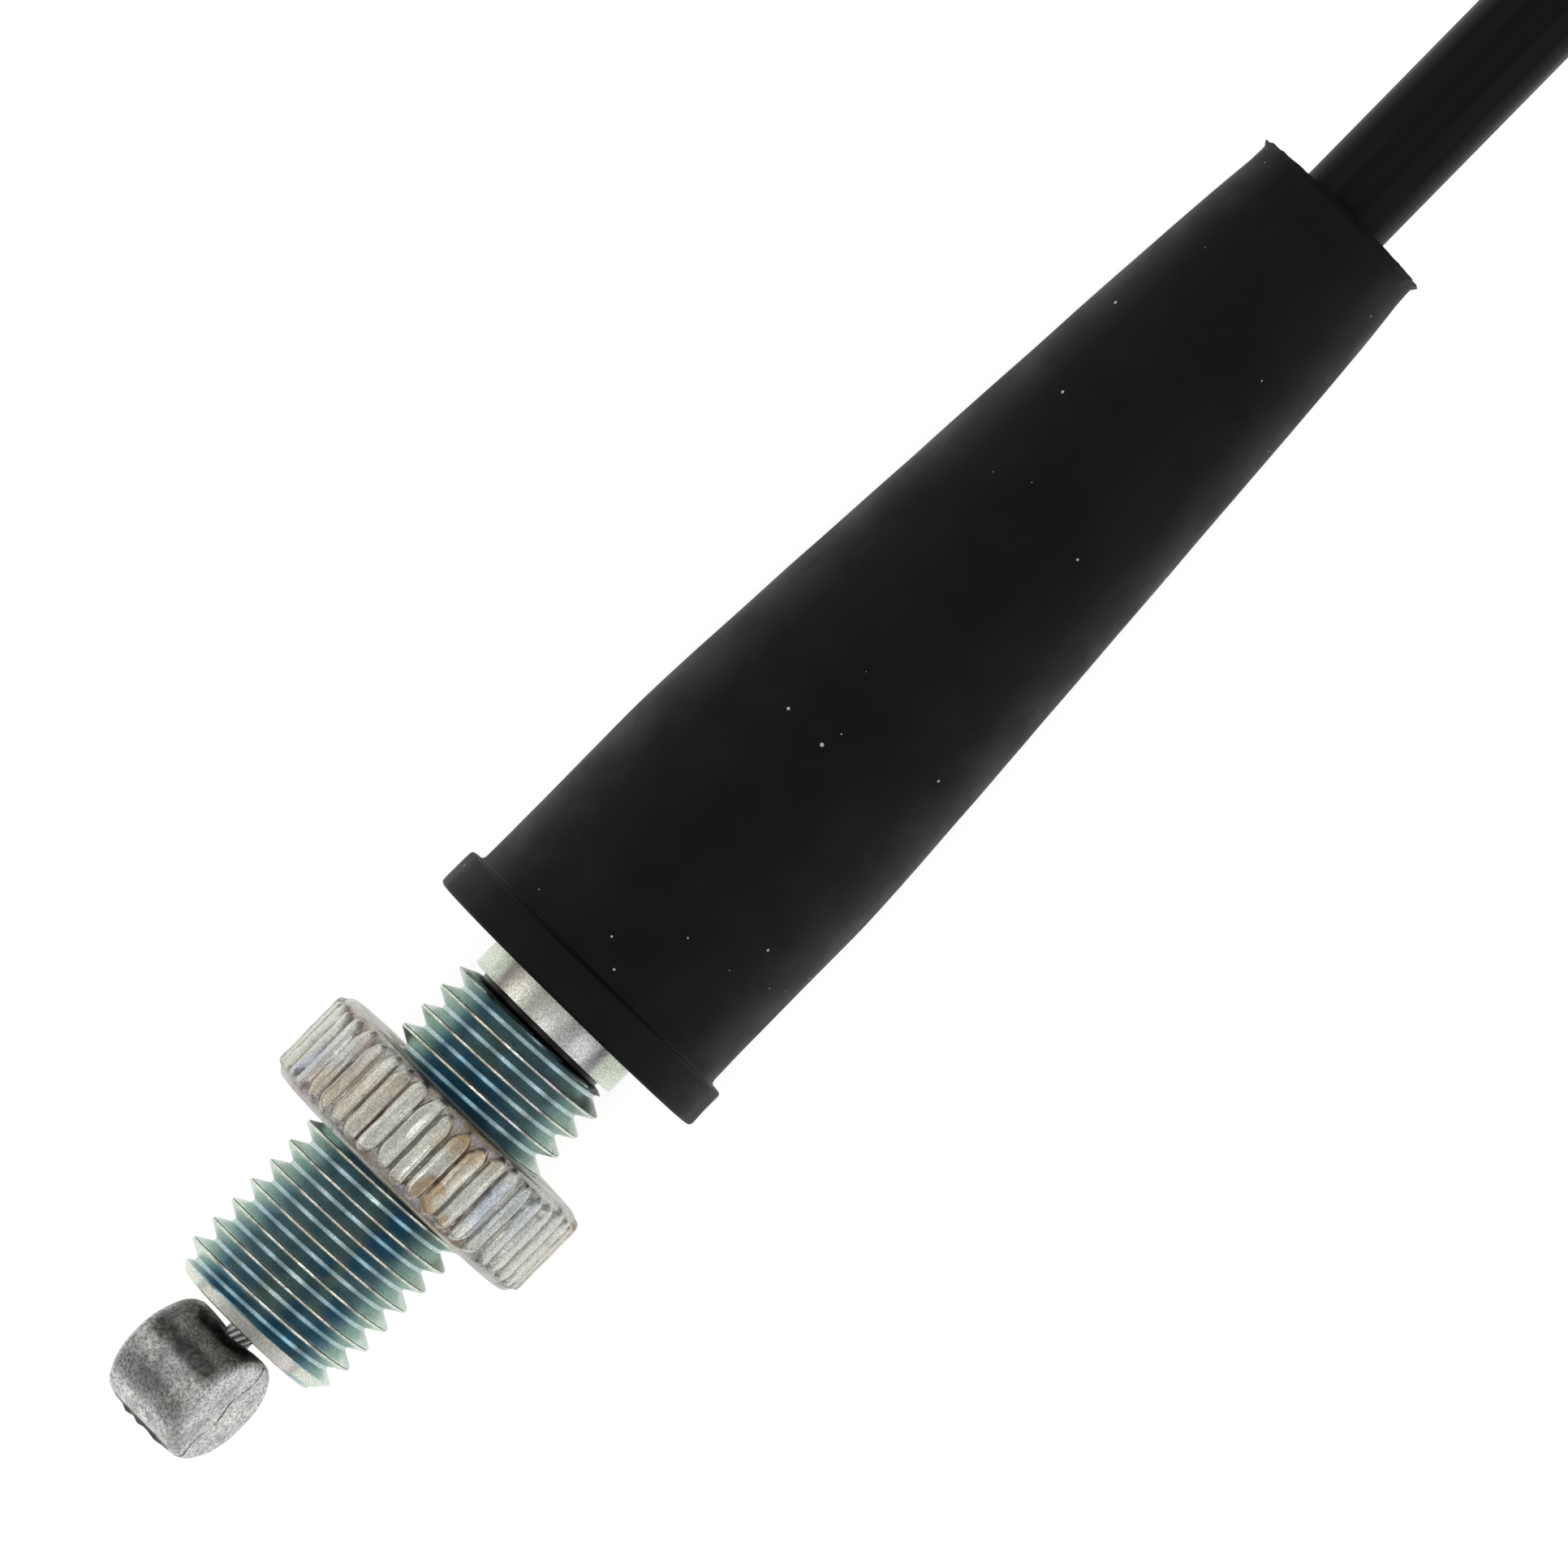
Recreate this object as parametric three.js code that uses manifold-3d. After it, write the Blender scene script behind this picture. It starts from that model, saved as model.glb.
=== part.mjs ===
// A sleeved control cable (a Bowden cable) with a threaded adjuster at its near end.
//
// A steel wire with a cast barrel nipple on each end slides in a sleeved casing. The near end of the
// casing sits in a ferrule that swivels in the socket of a threaded adjuster, which carries a round
// knurled lock nut. A rubber boot covers the joint. The rest of the casing is wound in a tied coil,
// and its far end comes back beside the near end, in a plain ferrule.
//
// Millimetres, +Z up. The cable's axis at the near end runs along +X, from the nipple to the casing.
// STATION values are measured along that axis from the adjuster's nose face.

import * as THREE from "three";
import { mergeVertices } from "three/addons/utils/BufferGeometryUtils.js";
import Module from "manifold-3d";

const wasm = await Module();
wasm.setup();

// ---------------------------------------------------------------- driving dimensions

const TURN = 2 * Math.PI;
const RIGHT_ANGLE = Math.PI / 2;
const GAP = 0.3; // room kept between pieces that touch

// Thread, 5/16-24 UNF
const PITCH = 25.4 / 24;
const CREST_R = 3.97;
const ROOT_R = 3.32;
const CREST_HALF = PITCH / 16; // half the width of the flat on a crest
const ROOT_HALF = 0.441; // half the width of a thread at its root
const RUN_OUT_END = 16.4;
const THREAD_PHASE = 0.132; // station at which the helix crosses the +Y side
const THREAD_SIDES = 20;
const THREAD_SINK = 0.4; // how far a rib is sunk into the core that it joins
const THREAD_CLEARANCE = 0.11;
const RUN_OUT = 0.6; // length over which the last thread fades
const FIRST_THREAD = 0.8; // length of the lead-in chamfer

// Adjuster
const SHANK_R = 3.625;
const SHANK_START = 16.55;
const SHANK_END = 33;
const NOSE_CHAMFER = 0.3;
const WIRE_HOLE_R = 1.3;
const SOCKET_R = 2.75;
const SOCKET_START = 19.5;
const FLATS_START = 21.5;
const FLATS_LENGTH = 4.5;
const FLATS_ACROSS = 6.5;

// Round knurled lock nut
const NUT_START = 8.1;
const NUT_WIDTH = 4.1;
const NUT_R = 6.5;
const NUT_RIBS = 46;
const RIB_DEPTH = 0.28;
const NUT_EDGE = 0.45;
const NUT_BORE_R = 3.45;
const NUT_COUNTERSINK_R = 4.25;
const NUT_GROOVE_SIDE = 0.08; // the groove's play on each side at its mouth

// Rubber boot
const BOOT_START = 17.8;
const BOOT_END = 61;
const FLANGE_R = 6.8;
const FLANGE_WIDTH = 1.75;
const BOOT_R = 6.25;
const BOOT_BARREL_END = 28.5;
const BOOT_TAPER = [[33, 5.98], [42.5, 5.36], [52, 4.73], [59.8, 4.04]];
const BOOT_TAIL_R = 4.08;
const BOOT_WALL = 1.25;
const BOOT_LIP = 2.4; // length of the bore that grips the adjuster's shank
const BOOT_GRIP = 4.5; // length of the bore that grips the casing
const BOOT_FRONT_BORE_R = 3.76;
const BOOT_REAR_BORE_R = 2.25;

// Casing and inner wire
const CASING_R = 2.025;
const JACKET_BORE_R = 1.55;
const CONDUIT_R = 1.45;
const CONDUIT_BORE_R = 1.05;
const LINER_R = 0.98;
const LINER_BORE_R = 0.78;
const WIRE_R = 0.62;
const WIRE_HOLE_IN_END_R = 1.0;

// Barrel nipples
const NIPPLE_R = 2.52;
const NIPPLE_LENGTH = 4.2;
const NIPPLE_RIM = 0.7;
const NIPPLE_GAP = 0.36; // between the near nipple and the adjuster's nose
const NIPPLE_TILT = THREE.MathUtils.degToRad(25);
const NIPPLE_OFF_CENTRE = 0.25; // how far the wire enters the near nipple from its middle
const NIPPLE_WIRE_DEPTH = 3.4;
const NIPPLE_HOLE_R = WIRE_R + 0.08;

// Ferrules on the casing's ends
const FERRULE_WALL_R = 2.6;
const FERRULE_BORE_R = 2.13;
const FERRULE_END_THICK = 0.8;
const FERRULE_CHAMFER = 0.3;
const COLLAR_R = 3.3;
const COLLAR_WIDTH = 1.3;
const FAR_FERRULE_R = 2.75;
const FAR_FERRULE_LENGTH = 12;

// How the cable lies
const AXIS_Z = FLANGE_R; // the boot's flange rests on the surface
const TIE_THICK = 0.5;
const COIL_BOTTOM = TIE_THICK + GAP;
const LAYER = 2 * CASING_R + 0.05; // one turn to the next, sideways and upwards
const LOW_Z = COIL_BOTTOM + CASING_R;
const HIGH_Z = LOW_Z + LAYER;
const COIL_OUTER_R = 27.2; // to the middle of the outermost turn
const COIL_TURNS_WIDE = 3;
const COIL_STATION = 111.5;
const DROP_START = 79.5;
const DROP_END = 99.5;
const RETURN_DROP_START = 8; // from the coil's middle, back along -X
const RETURN_DROP_END = 28;
const FAR_STRAIGHT = 40;
const FAR_WIRE_FREE = 35;
const TIE_WIDTH = 2.5;
const TIE_HEAD = [4.6, 3.6, 2.9];

// Worked out from the above
const NIPPLE_STATION = -NIPPLE_GAP - NIPPLE_R;
const ORIGIN_STATION = (NIPPLE_STATION - NIPPLE_R + BOOT_END) / 2;
const COIL_INNER_R = COIL_OUTER_R - (COIL_TURNS_WIDE - 1) * LAYER;
const RING_R = COIL_OUTER_R + CASING_R + 0.05;
const RING_BORE_R = COIL_INNER_R - CASING_R - 0.05;
const RING_TOP = HIGH_Z + CASING_R + 0.05;
const COIL_X = COIL_STATION - ORIGIN_STATION;
const COIL_Y = COIL_OUTER_R;
const FAR_Y = COIL_Y + COIL_OUTER_R;
const FERRULE_START = SOCKET_START + GAP;
const FERRULE_MOUTH = SHANK_END + GAP + COLLAR_WIDTH;
const JACKET_START = FERRULE_START + FERRULE_END_THICK + GAP;
const JACKET_END = BOOT_END - GAP;
// Stations of the far end, on its own axis: 0 at the ferrule's face, positive towards the coil.
const FAR_FACE_X = COIL_X - RETURN_DROP_END - FAR_STRAIGHT;
const FAR_JACKET_END = FAR_STRAIGHT - GAP;
const FAR_WIRE_INSIDE = FAR_FERRULE_LENGTH + 1;

// ---------------------------------------------------------------- materials

const ZINC_PLATE = { color: 0xb9c2bd, roughness: 0.35, metalness: 0.9 };
const CAST_ZINC = { color: 0x6f7072, roughness: 0.6, metalness: 0.7 };
const STEEL_WIRE = { color: 0x9a9c9e, roughness: 0.4, metalness: 0.9 };
const RUBBER = { color: 0x141414, roughness: 0.75, metalness: 0 };
const JACKET_PLASTIC = { color: 0x101010, roughness: 0.5, metalness: 0 };
const LINER_PLASTIC = { color: 0xe6e2d6, roughness: 0.45, metalness: 0 };
const TIE_NYLON = { color: 0x1b1b1c, roughness: 0.55, metalness: 0 };

// ---------------------------------------------------------------- helpers

const cable = new THREE.Group();

function addPiece(name, geometry, finish, parent) {
  const mesh = new THREE.Mesh(geometry, new THREE.MeshStandardMaterial(finish));
  mesh.name = name;
  parent.add(mesh);
  return mesh;
}

// A closed profile of [station, radius] points, turned about the X axis.
function turned(profile, sides = 32) {
  const points = profile.map(([station, radius]) => new THREE.Vector2(radius, station));
  points.push(points[0].clone());
  return new THREE.LatheGeometry(points, sides).rotateZ(-RIGHT_ANGLE);
}

function tube(start, end, bore, radius, sides = 24) {
  return turned([[start, bore], [start, radius], [end, radius], [end, bore]], sides);
}

function toSolid(geometry) {
  const bare = geometry.clone();
  bare.deleteAttribute("normal");
  bare.deleteAttribute("uv");
  const merged = mergeVertices(bare, 1e-4);
  const corners = merged.index.array;
  const kept = [];
  for (let i = 0; i < corners.length; i += 3) {
    const [a, b, c] = corners.slice(i, i + 3);
    if (a !== b && b !== c && c !== a) kept.push(a, b, c);
  }
  return new wasm.Manifold(new wasm.Mesh({
    numProp: 3,
    vertProperties: merged.attributes.position.array,
    triVerts: new Uint32Array(kept),
  }));
}

function toGeometry(solid) {
  const mesh = solid.getMesh();
  return new THREE.BufferGeometry()
    .setAttribute("position", new THREE.BufferAttribute(mesh.vertProperties, 3))
    .setIndex(new THREE.BufferAttribute(mesh.triVerts, 1));
}

// A right-hand helix about the X axis, whose section keeps one side facing straight out. It starts
// a whole number of turns before the thread's phase, so that its corners meet those of turned pieces.
class Helix extends THREE.Curve {
  constructor(turnsBefore, turns) {
    super();
    this.start = THREAD_PHASE - turnsBefore * PITCH;
    this.turns = turns;
  }
  angleAt(t) {
    return TURN * this.turns * t;
  }
  getPoint(t, target = new THREE.Vector3()) {
    return target.set(this.start + PITCH * this.turns * t, 0, 0);
  }
  getPointAt(t, target) {
    return this.getPoint(t, target);
  }
  computeFrenetFrames(steps) {
    const frames = { tangents: [], normals: [], binormals: [] };
    for (let i = 0; i <= steps; i++) {
      const angle = this.angleAt(i / steps);
      frames.normals.push(new THREE.Vector3(0, Math.cos(angle), Math.sin(angle)));
      frames.binormals.push(new THREE.Vector3(-1, 0, 0));
      frames.tangents.push(new THREE.Vector3(0, -Math.sin(angle), Math.cos(angle)));
    }
    return frames;
  }
}

// One thread, as a solid rib, sunk below its root to join a core.
function threadRib(turnsBefore, turns, innerR, innerHalf, outerR, outerHalf) {
  const section = new THREE.Shape([
    new THREE.Vector2(innerR, innerHalf),
    new THREE.Vector2(innerR, -innerHalf),
    new THREE.Vector2(outerR, -outerHalf),
    new THREE.Vector2(outerR, outerHalf),
  ]);
  return toSolid(new THREE.ExtrudeGeometry(section, {
    steps: turns * THREAD_SIDES,
    extrudePath: new Helix(turnsBefore, turns),
  }));
}

// ---------------------------------------------------------------- near end

const near = new THREE.Group();
near.position.set(-ORIGIN_STATION, 0, AXIS_Z);
cable.add(near);

function adjusterScrew() {
  const core = toSolid(turned([
    [0, WIRE_HOLE_R],
    [0, ROOT_R - NOSE_CHAMFER],
    [NOSE_CHAMFER, ROOT_R],
    [SHANK_START - 0.1, ROOT_R],
    [SHANK_START, SHANK_R],
    [SHANK_END - NOSE_CHAMFER, SHANK_R],
    [SHANK_END, SHANK_R - NOSE_CHAMFER],
    [SHANK_END, SOCKET_R],
    [SOCKET_START, SOCKET_R],
    [SOCKET_START, WIRE_HOLE_R],
  ], THREAD_SIDES));
  const rib = threadRib(1, 17, ROOT_R - THREAD_SINK, ROOT_HALF, CREST_R, CREST_HALF);
  const inside = ROOT_R - 2 * THREAD_SINK;
  const outside = CREST_R + THREAD_CLEARANCE;
  const envelope = toSolid(turned([
    [0.02, inside],
    [0.02, ROOT_R - 0.1],
    [FIRST_THREAD, outside],
    [RUN_OUT_END - RUN_OUT, outside],
    [RUN_OUT_END, ROOT_R + 0.02],
    [RUN_OUT_END, inside],
  ], THREAD_SIDES));
  const flat = (side) => toSolid(
    new THREE.BoxGeometry(FLATS_LENGTH, 2 * CREST_R, SHANK_R)
      .translate(FLATS_START + FLATS_LENGTH / 2, 0, side * (FLATS_ACROSS + SHANK_R) / 2));
  return toGeometry(core.add(rib.intersect(envelope)).subtract(flat(1)).subtract(flat(-1)));
}

function lockNut() {
  const outline = new THREE.Shape();
  const ribTurn = TURN / NUT_RIBS;
  for (let i = 0; i < NUT_RIBS; i++) {
    [[-0.3, NUT_R], [0.3, NUT_R], [0.5, NUT_R - RIB_DEPTH]].forEach(([share, radius]) => {
      const angle = (i + share) * ribTurn;
      const point = [radius * Math.cos(angle), radius * Math.sin(angle)];
      if (i === 0 && share === -0.3) outline.moveTo(...point);
      else outline.lineTo(...point);
    });
  }
  const knurled = toSolid(
    new THREE.ExtrudeGeometry(outline, { depth: NUT_WIDTH, bevelEnabled: false })
      .rotateY(RIGHT_ANGLE).translate(NUT_START, 0, 0));
  const end = NUT_START + NUT_WIDTH;
  const rounded = toSolid(turned([
    [NUT_START, 0.01],
    [NUT_START, NUT_R - NUT_EDGE],
    [NUT_START + NUT_EDGE, NUT_R + 0.05],
    [end - NUT_EDGE, NUT_R + 0.05],
    [end, NUT_R - NUT_EDGE],
    [end, 0.01],
  ], NUT_RIBS));
  const sink = NUT_COUNTERSINK_R - NUT_BORE_R;
  const bore = toSolid(turned([
    [NUT_START - 1, 0.01],
    [NUT_START - 1, NUT_COUNTERSINK_R],
    [NUT_START, NUT_COUNTERSINK_R],
    [NUT_START + sink, NUT_BORE_R],
    [end - sink, NUT_BORE_R],
    [end, NUT_COUNTERSINK_R],
    [end + 1, NUT_COUNTERSINK_R],
    [end + 1, 0.01],
  ], THREAD_SIDES));
  const groove = threadRib(
    -6, 7, NUT_BORE_R - 0.05, ROOT_HALF + NUT_GROOVE_SIDE,
    CREST_R + THREAD_CLEARANCE, CREST_HALF + NUT_GROOVE_SIDE);
  return toGeometry(knurled.intersect(rounded).subtract(bore).subtract(groove));
}

function rubberBoot() {
  const inner = BOOT_TAPER.slice(1, 3).reverse()
    .map(([station, radius]) => [station, radius - BOOT_WALL]);
  return turned([
    [BOOT_START, BOOT_FRONT_BORE_R],
    [BOOT_START, FLANGE_R],
    [BOOT_START + FLANGE_WIDTH, FLANGE_R],
    [BOOT_START + FLANGE_WIDTH, BOOT_R],
    [BOOT_BARREL_END, BOOT_R],
    ...BOOT_TAPER,
    [BOOT_END, BOOT_TAIL_R],
    [BOOT_END, BOOT_REAR_BORE_R],
    [BOOT_END - BOOT_GRIP, BOOT_REAR_BORE_R],
    [BOOT_END - BOOT_GRIP - 1, BOOT_TAIL_R - 0.6 * BOOT_WALL],
    ...inner,
    [BOOT_BARREL_END, BOOT_R - BOOT_WALL],
    [BOOT_START + BOOT_LIP + 1, BOOT_R - BOOT_WALL],
    [BOOT_START + BOOT_LIP, BOOT_FRONT_BORE_R],
  ], 40);
}

// A barrel across the cable's axis, with a socket for the wire. `offset` shifts it along its length.
function barrelNipple(offset) {
  const half = NIPPLE_LENGTH / 2;
  const rim = (share) => [
    half - NIPPLE_RIM * (1 - Math.sin(RIGHT_ANGLE * share)),
    NIPPLE_R - NIPPLE_RIM * (1 - Math.cos(RIGHT_ANGLE * share)),
  ];
  const corner = [0, 1 / 3, 2 / 3, 1].map(rim);
  const mirrored = corner.map(([station, radius]) => [-station, radius]).reverse();
  const barrel = toSolid(turned([[-half, 0], ...mirrored, ...corner, [half, 0]], 36)
    .rotateZ(RIGHT_ANGLE).translate(0, offset, 0));
  const hole = toSolid(tube(NIPPLE_R - NIPPLE_WIRE_DEPTH, NIPPLE_R + 1, 0, NIPPLE_HOLE_R, 16));
  return toGeometry(barrel.subtract(hole));
}

addPiece("adjuster_screw", adjusterScrew(), ZINC_PLATE, near);
addPiece("lock_nut", lockNut(), ZINC_PLATE, near);
addPiece("rubber_boot", rubberBoot(), RUBBER, near);

addPiece("near_ferrule", turned([
  [FERRULE_START, WIRE_HOLE_IN_END_R],
  [FERRULE_START, FERRULE_WALL_R - FERRULE_CHAMFER],
  [FERRULE_START + FERRULE_CHAMFER, FERRULE_WALL_R],
  [SHANK_END + GAP, FERRULE_WALL_R],
  [SHANK_END + GAP, COLLAR_R],
  [FERRULE_MOUTH, COLLAR_R],
  [FERRULE_MOUTH, FERRULE_BORE_R],
  [FERRULE_START + FERRULE_END_THICK, FERRULE_BORE_R],
  [FERRULE_START + FERRULE_END_THICK, WIRE_HOLE_IN_END_R],
]), ZINC_PLATE, near);

addPiece("near_jacket", tube(JACKET_START, JACKET_END, JACKET_BORE_R, CASING_R), JACKET_PLASTIC, near);
addPiece("near_conduit", tube(JACKET_START, JACKET_END, CONDUIT_BORE_R, CONDUIT_R), STEEL_WIRE, near);
addPiece("near_liner", tube(JACKET_START, JACKET_END, LINER_BORE_R, LINER_R, 20), LINER_PLASTIC, near);

const NEAR_WIRE_START = NIPPLE_STATION + NIPPLE_R - NIPPLE_WIRE_DEPTH + GAP;
addPiece("near_wire", tube(NEAR_WIRE_START, JACKET_END - 3, 0, WIRE_R, 12), STEEL_WIRE, near);

const nearNipple = addPiece("near_nipple", barrelNipple(NIPPLE_OFF_CENTRE), CAST_ZINC, near);
nearNipple.position.set(NIPPLE_STATION, 0, 0);
nearNipple.rotation.x = -NIPPLE_TILT;

// ---------------------------------------------------------------- the casing's free length

// A smooth step from one height to another, flat at both ends.
function eased(share) {
  return (1 - Math.cos(Math.PI * THREE.MathUtils.clamp(share, 0, 1))) / 2;
}

function casingAlong(points, steps) {
  const section = new THREE.Shape();
  section.absarc(0, 0, CASING_R, 0, TURN);
  return new THREE.ExtrudeGeometry(section, {
    steps,
    curveSegments: 5, // five steps on each half of the round: ten sides
    extrudePath: new THREE.CatmullRomCurve3(points.map((p) => new THREE.Vector3(...p))),
  });
}

// The stretch of a straight run that the coil's outline leaves free.
const RUN_STOP = Math.sqrt(RING_R ** 2 - (COIL_OUTER_R - CASING_R) ** 2) + GAP;
const RUN_STATIONS = [
  BOOT_END, 64, 67, 70, 73, 76, DROP_START, 82, 84.5, 87, 89.5, 92, 94.5,
  COIL_STATION - RUN_STOP,
];
const runZ = (station) =>
  AXIS_Z + (LOW_Z - AXIS_Z) * eased((station - DROP_START) / (DROP_END - DROP_START));
addPiece("casing_run", casingAlong(
  RUN_STATIONS.map((s) => [s - ORIGIN_STATION, 0, runZ(s)]), 24), JACKET_PLASTIC, cable);

const RETURN_STATIONS = [RUN_STOP, 18, 20, 22.5, 25, RETURN_DROP_END - GAP];
const returnZ = (back) =>
  HIGH_Z + (LOW_Z - HIGH_Z) *
    eased((back - RETURN_DROP_START) / (RETURN_DROP_END - RETURN_DROP_START));
addPiece("casing_return", casingAlong(
  RETURN_STATIONS.map((back) => [COIL_X - back, FAR_Y, returnZ(back)]), 10), JACKET_PLASTIC, cable);

const RING_EDGE = 1.2;
const ring = new THREE.LatheGeometry([
  [RING_BORE_R, COIL_BOTTOM + RING_EDGE],
  [RING_BORE_R + RING_EDGE, COIL_BOTTOM],
  [RING_R - RING_EDGE, COIL_BOTTOM],
  [RING_R, COIL_BOTTOM + RING_EDGE],
  [RING_R, RING_TOP - RING_EDGE],
  [RING_R - RING_EDGE, RING_TOP],
  [RING_BORE_R + RING_EDGE, RING_TOP],
  [RING_BORE_R, RING_TOP - RING_EDGE],
  [RING_BORE_R, COIL_BOTTOM + RING_EDGE],
].map(([radius, z]) => new THREE.Vector2(radius, z)), 48).rotateX(RIGHT_ANGLE);
const coil = addPiece("casing_coil", ring, JACKET_PLASTIC, cable);
coil.position.set(COIL_X, COIL_Y, 0);

// ---------------------------------------------------------------- ties round the coil

function rectangle(left, right, bottom, top) {
  return [[left, bottom], [right, bottom], [right, top], [left, top]]
    .map((p) => new THREE.Vector2(...p));
}

function coilTie() {
  const [headLength, headWidth, headHeight] = TIE_HEAD;
  const left = RING_BORE_R - GAP;
  const right = RING_R + GAP;
  const band = new THREE.Shape(
    rectangle(left - TIE_THICK, right + TIE_THICK, 0, RING_TOP + GAP + TIE_THICK));
  band.holes.push(new THREE.Path(rectangle(left, right, TIE_THICK, RING_TOP + GAP)));
  const loop = toSolid(
    new THREE.ExtrudeGeometry(band, { depth: TIE_WIDTH, bevelEnabled: false })
      .rotateX(RIGHT_ANGLE).translate(0, TIE_WIDTH / 2, 0));
  const head = toSolid(
    new THREE.BoxGeometry(headLength, headWidth, headHeight)
      .translate((left + right) / 2, 0, RING_TOP + GAP + 0.05 + headHeight / 2));
  return toGeometry(loop.add(head));
}

[["coil_tie_outer", 0], ["coil_tie_inner", Math.PI]].forEach(([name, angle]) => {
  const tie = addPiece(name, coilTie(), TIE_NYLON, cable);
  tie.position.set(COIL_X, COIL_Y, 0);
  tie.rotation.z = angle;
});

// ---------------------------------------------------------------- far end

const far = new THREE.Group();
far.position.set(FAR_FACE_X, FAR_Y, LOW_Z);
cable.add(far);

addPiece("far_ferrule", turned([
  [0, WIRE_HOLE_IN_END_R],
  [0, FAR_FERRULE_R - FERRULE_CHAMFER],
  [FERRULE_CHAMFER, FAR_FERRULE_R],
  [FAR_FERRULE_LENGTH, FAR_FERRULE_R],
  [FAR_FERRULE_LENGTH, FERRULE_BORE_R],
  [FERRULE_END_THICK, FERRULE_BORE_R],
  [FERRULE_END_THICK, WIRE_HOLE_IN_END_R],
]), ZINC_PLATE, far);

const FAR_JACKET_START = FERRULE_END_THICK + GAP;
addPiece("far_jacket",
  tube(FAR_JACKET_START, FAR_JACKET_END, JACKET_BORE_R, CASING_R), JACKET_PLASTIC, far);
addPiece("far_conduit",
  tube(FAR_JACKET_START, FAR_JACKET_END, CONDUIT_BORE_R, CONDUIT_R), STEEL_WIRE, far);
addPiece("far_liner",
  tube(FAR_JACKET_START, FAR_JACKET_END, LINER_BORE_R, LINER_R, 20), LINER_PLASTIC, far);

const FAR_NIPPLE_X = -FAR_WIRE_FREE - NIPPLE_R;
addPiece("far_wire",
  tube(FAR_NIPPLE_X + NIPPLE_R - NIPPLE_WIRE_DEPTH + GAP, FAR_WIRE_INSIDE, 0, WIRE_R, 12),
  STEEL_WIRE, far);
addPiece("far_nipple", barrelNipple(0), CAST_ZINC, far).position.x = FAR_NIPPLE_X;

export default cable;
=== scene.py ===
# %% [markdown]
# # A control cable with its adjuster
#
# A Bowden cable pulls on a lever through a flexible casing. This scene shows the lever end of one: a
# cast nipple on a stranded wire, a zinc-plated threaded adjuster with a knurled lock nut, a rubber boot
# and the plastic-jacketed casing, whose spare length lies beside it in a tied coil. The design comes in
# as a fixed frame of plain solids. Each cell below makes one piece of it in full detail.

# %% Load the frame
import math

import bmesh
import bpy
import numpy as np
from mathutils import Matrix, Vector, noise


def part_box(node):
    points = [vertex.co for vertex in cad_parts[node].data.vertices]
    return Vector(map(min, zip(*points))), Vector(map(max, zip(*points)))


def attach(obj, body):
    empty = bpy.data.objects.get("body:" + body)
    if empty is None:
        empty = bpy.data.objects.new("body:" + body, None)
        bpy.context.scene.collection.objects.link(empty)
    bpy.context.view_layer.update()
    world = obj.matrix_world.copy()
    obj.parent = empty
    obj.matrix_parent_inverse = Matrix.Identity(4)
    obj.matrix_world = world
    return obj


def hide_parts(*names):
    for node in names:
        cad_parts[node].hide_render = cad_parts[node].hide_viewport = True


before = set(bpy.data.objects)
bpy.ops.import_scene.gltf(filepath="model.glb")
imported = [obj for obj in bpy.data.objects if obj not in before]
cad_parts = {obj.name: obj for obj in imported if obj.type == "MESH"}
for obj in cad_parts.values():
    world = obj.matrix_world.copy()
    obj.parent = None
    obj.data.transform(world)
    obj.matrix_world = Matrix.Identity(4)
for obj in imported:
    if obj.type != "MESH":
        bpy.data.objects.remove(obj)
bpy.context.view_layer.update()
print("CAD nodes:", len(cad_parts))

# %% [markdown]
# ## Where things are
#
# Sizes along the cable are easiest to read from the adjuster's nose, the way a fitter would measure
# them. So this cell takes the nose and the axis from the frame, and gives a function that turns a
# distance from the nose in millimetres into a place in the scene, which is in metres.

# %% Stations along the axis
MM = 0.001
TURN = 2 * math.pi

nose_low, nose_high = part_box("adjuster_screw")
NOSE_X = nose_low.x
AXIS_Z = (nose_low.z + nose_high.z) / 2


def station(mm):
    """The X of a point this many millimetres behind the adjuster's nose."""
    return NOSE_X + mm * MM


print(f"nose at x = {NOSE_X / MM:.2f} mm, axis at z = {AXIS_Z / MM:.2f} mm")

# %% [markdown]
# ## The camera
#
# The view is straight down on the cable, turned so that the cable runs from the lower left corner to
# the upper right. A long lens from half a metre away keeps the cylinders' edges parallel, as a macro
# lens does. Sensor width over lens length equals field width over distance, so the lens follows from
# the width of cable that has to fill the frame.

# %% Camera
FIELD_WIDTH = 61.12 * MM
CAMERA_DISTANCE = 0.5
CAMERA_ROLL = math.radians(45.5)
LOOK_AT = Vector((station(29.9), -0.07 * MM, AXIS_Z))

camera_data = bpy.data.cameras.new("camera")
camera_data.sensor_width = 36.0
camera_data.lens = camera_data.sensor_width * CAMERA_DISTANCE / FIELD_WIDTH
camera_data.clip_start = 0.01
camera = bpy.data.objects.new("camera", camera_data)
camera.location = LOOK_AT + Vector((0, 0, CAMERA_DISTANCE))
camera.rotation_euler = (0, 0, -CAMERA_ROLL)
bpy.context.scene.collection.objects.link(camera)
bpy.context.scene.camera = camera
print(f"lens {camera_data.lens:.0f} mm")

# %% [markdown]
# ## Helpers for meshes
#
# Nearly everything on a cable is turned or swept, so one kind of mesh serves: rings of points, each
# joined to the next. `ring_mesh` takes the rings as one array. A ring can be a single point repeated,
# which closes an end; merging by distance then turns that ring into a pole.

# %% Mesh helpers
def add_object(name, mesh):
    """Puts a mesh in the scene as a named object."""
    made = bpy.data.objects.new(name, mesh)
    bpy.context.scene.collection.objects.link(made)
    return made


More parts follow.
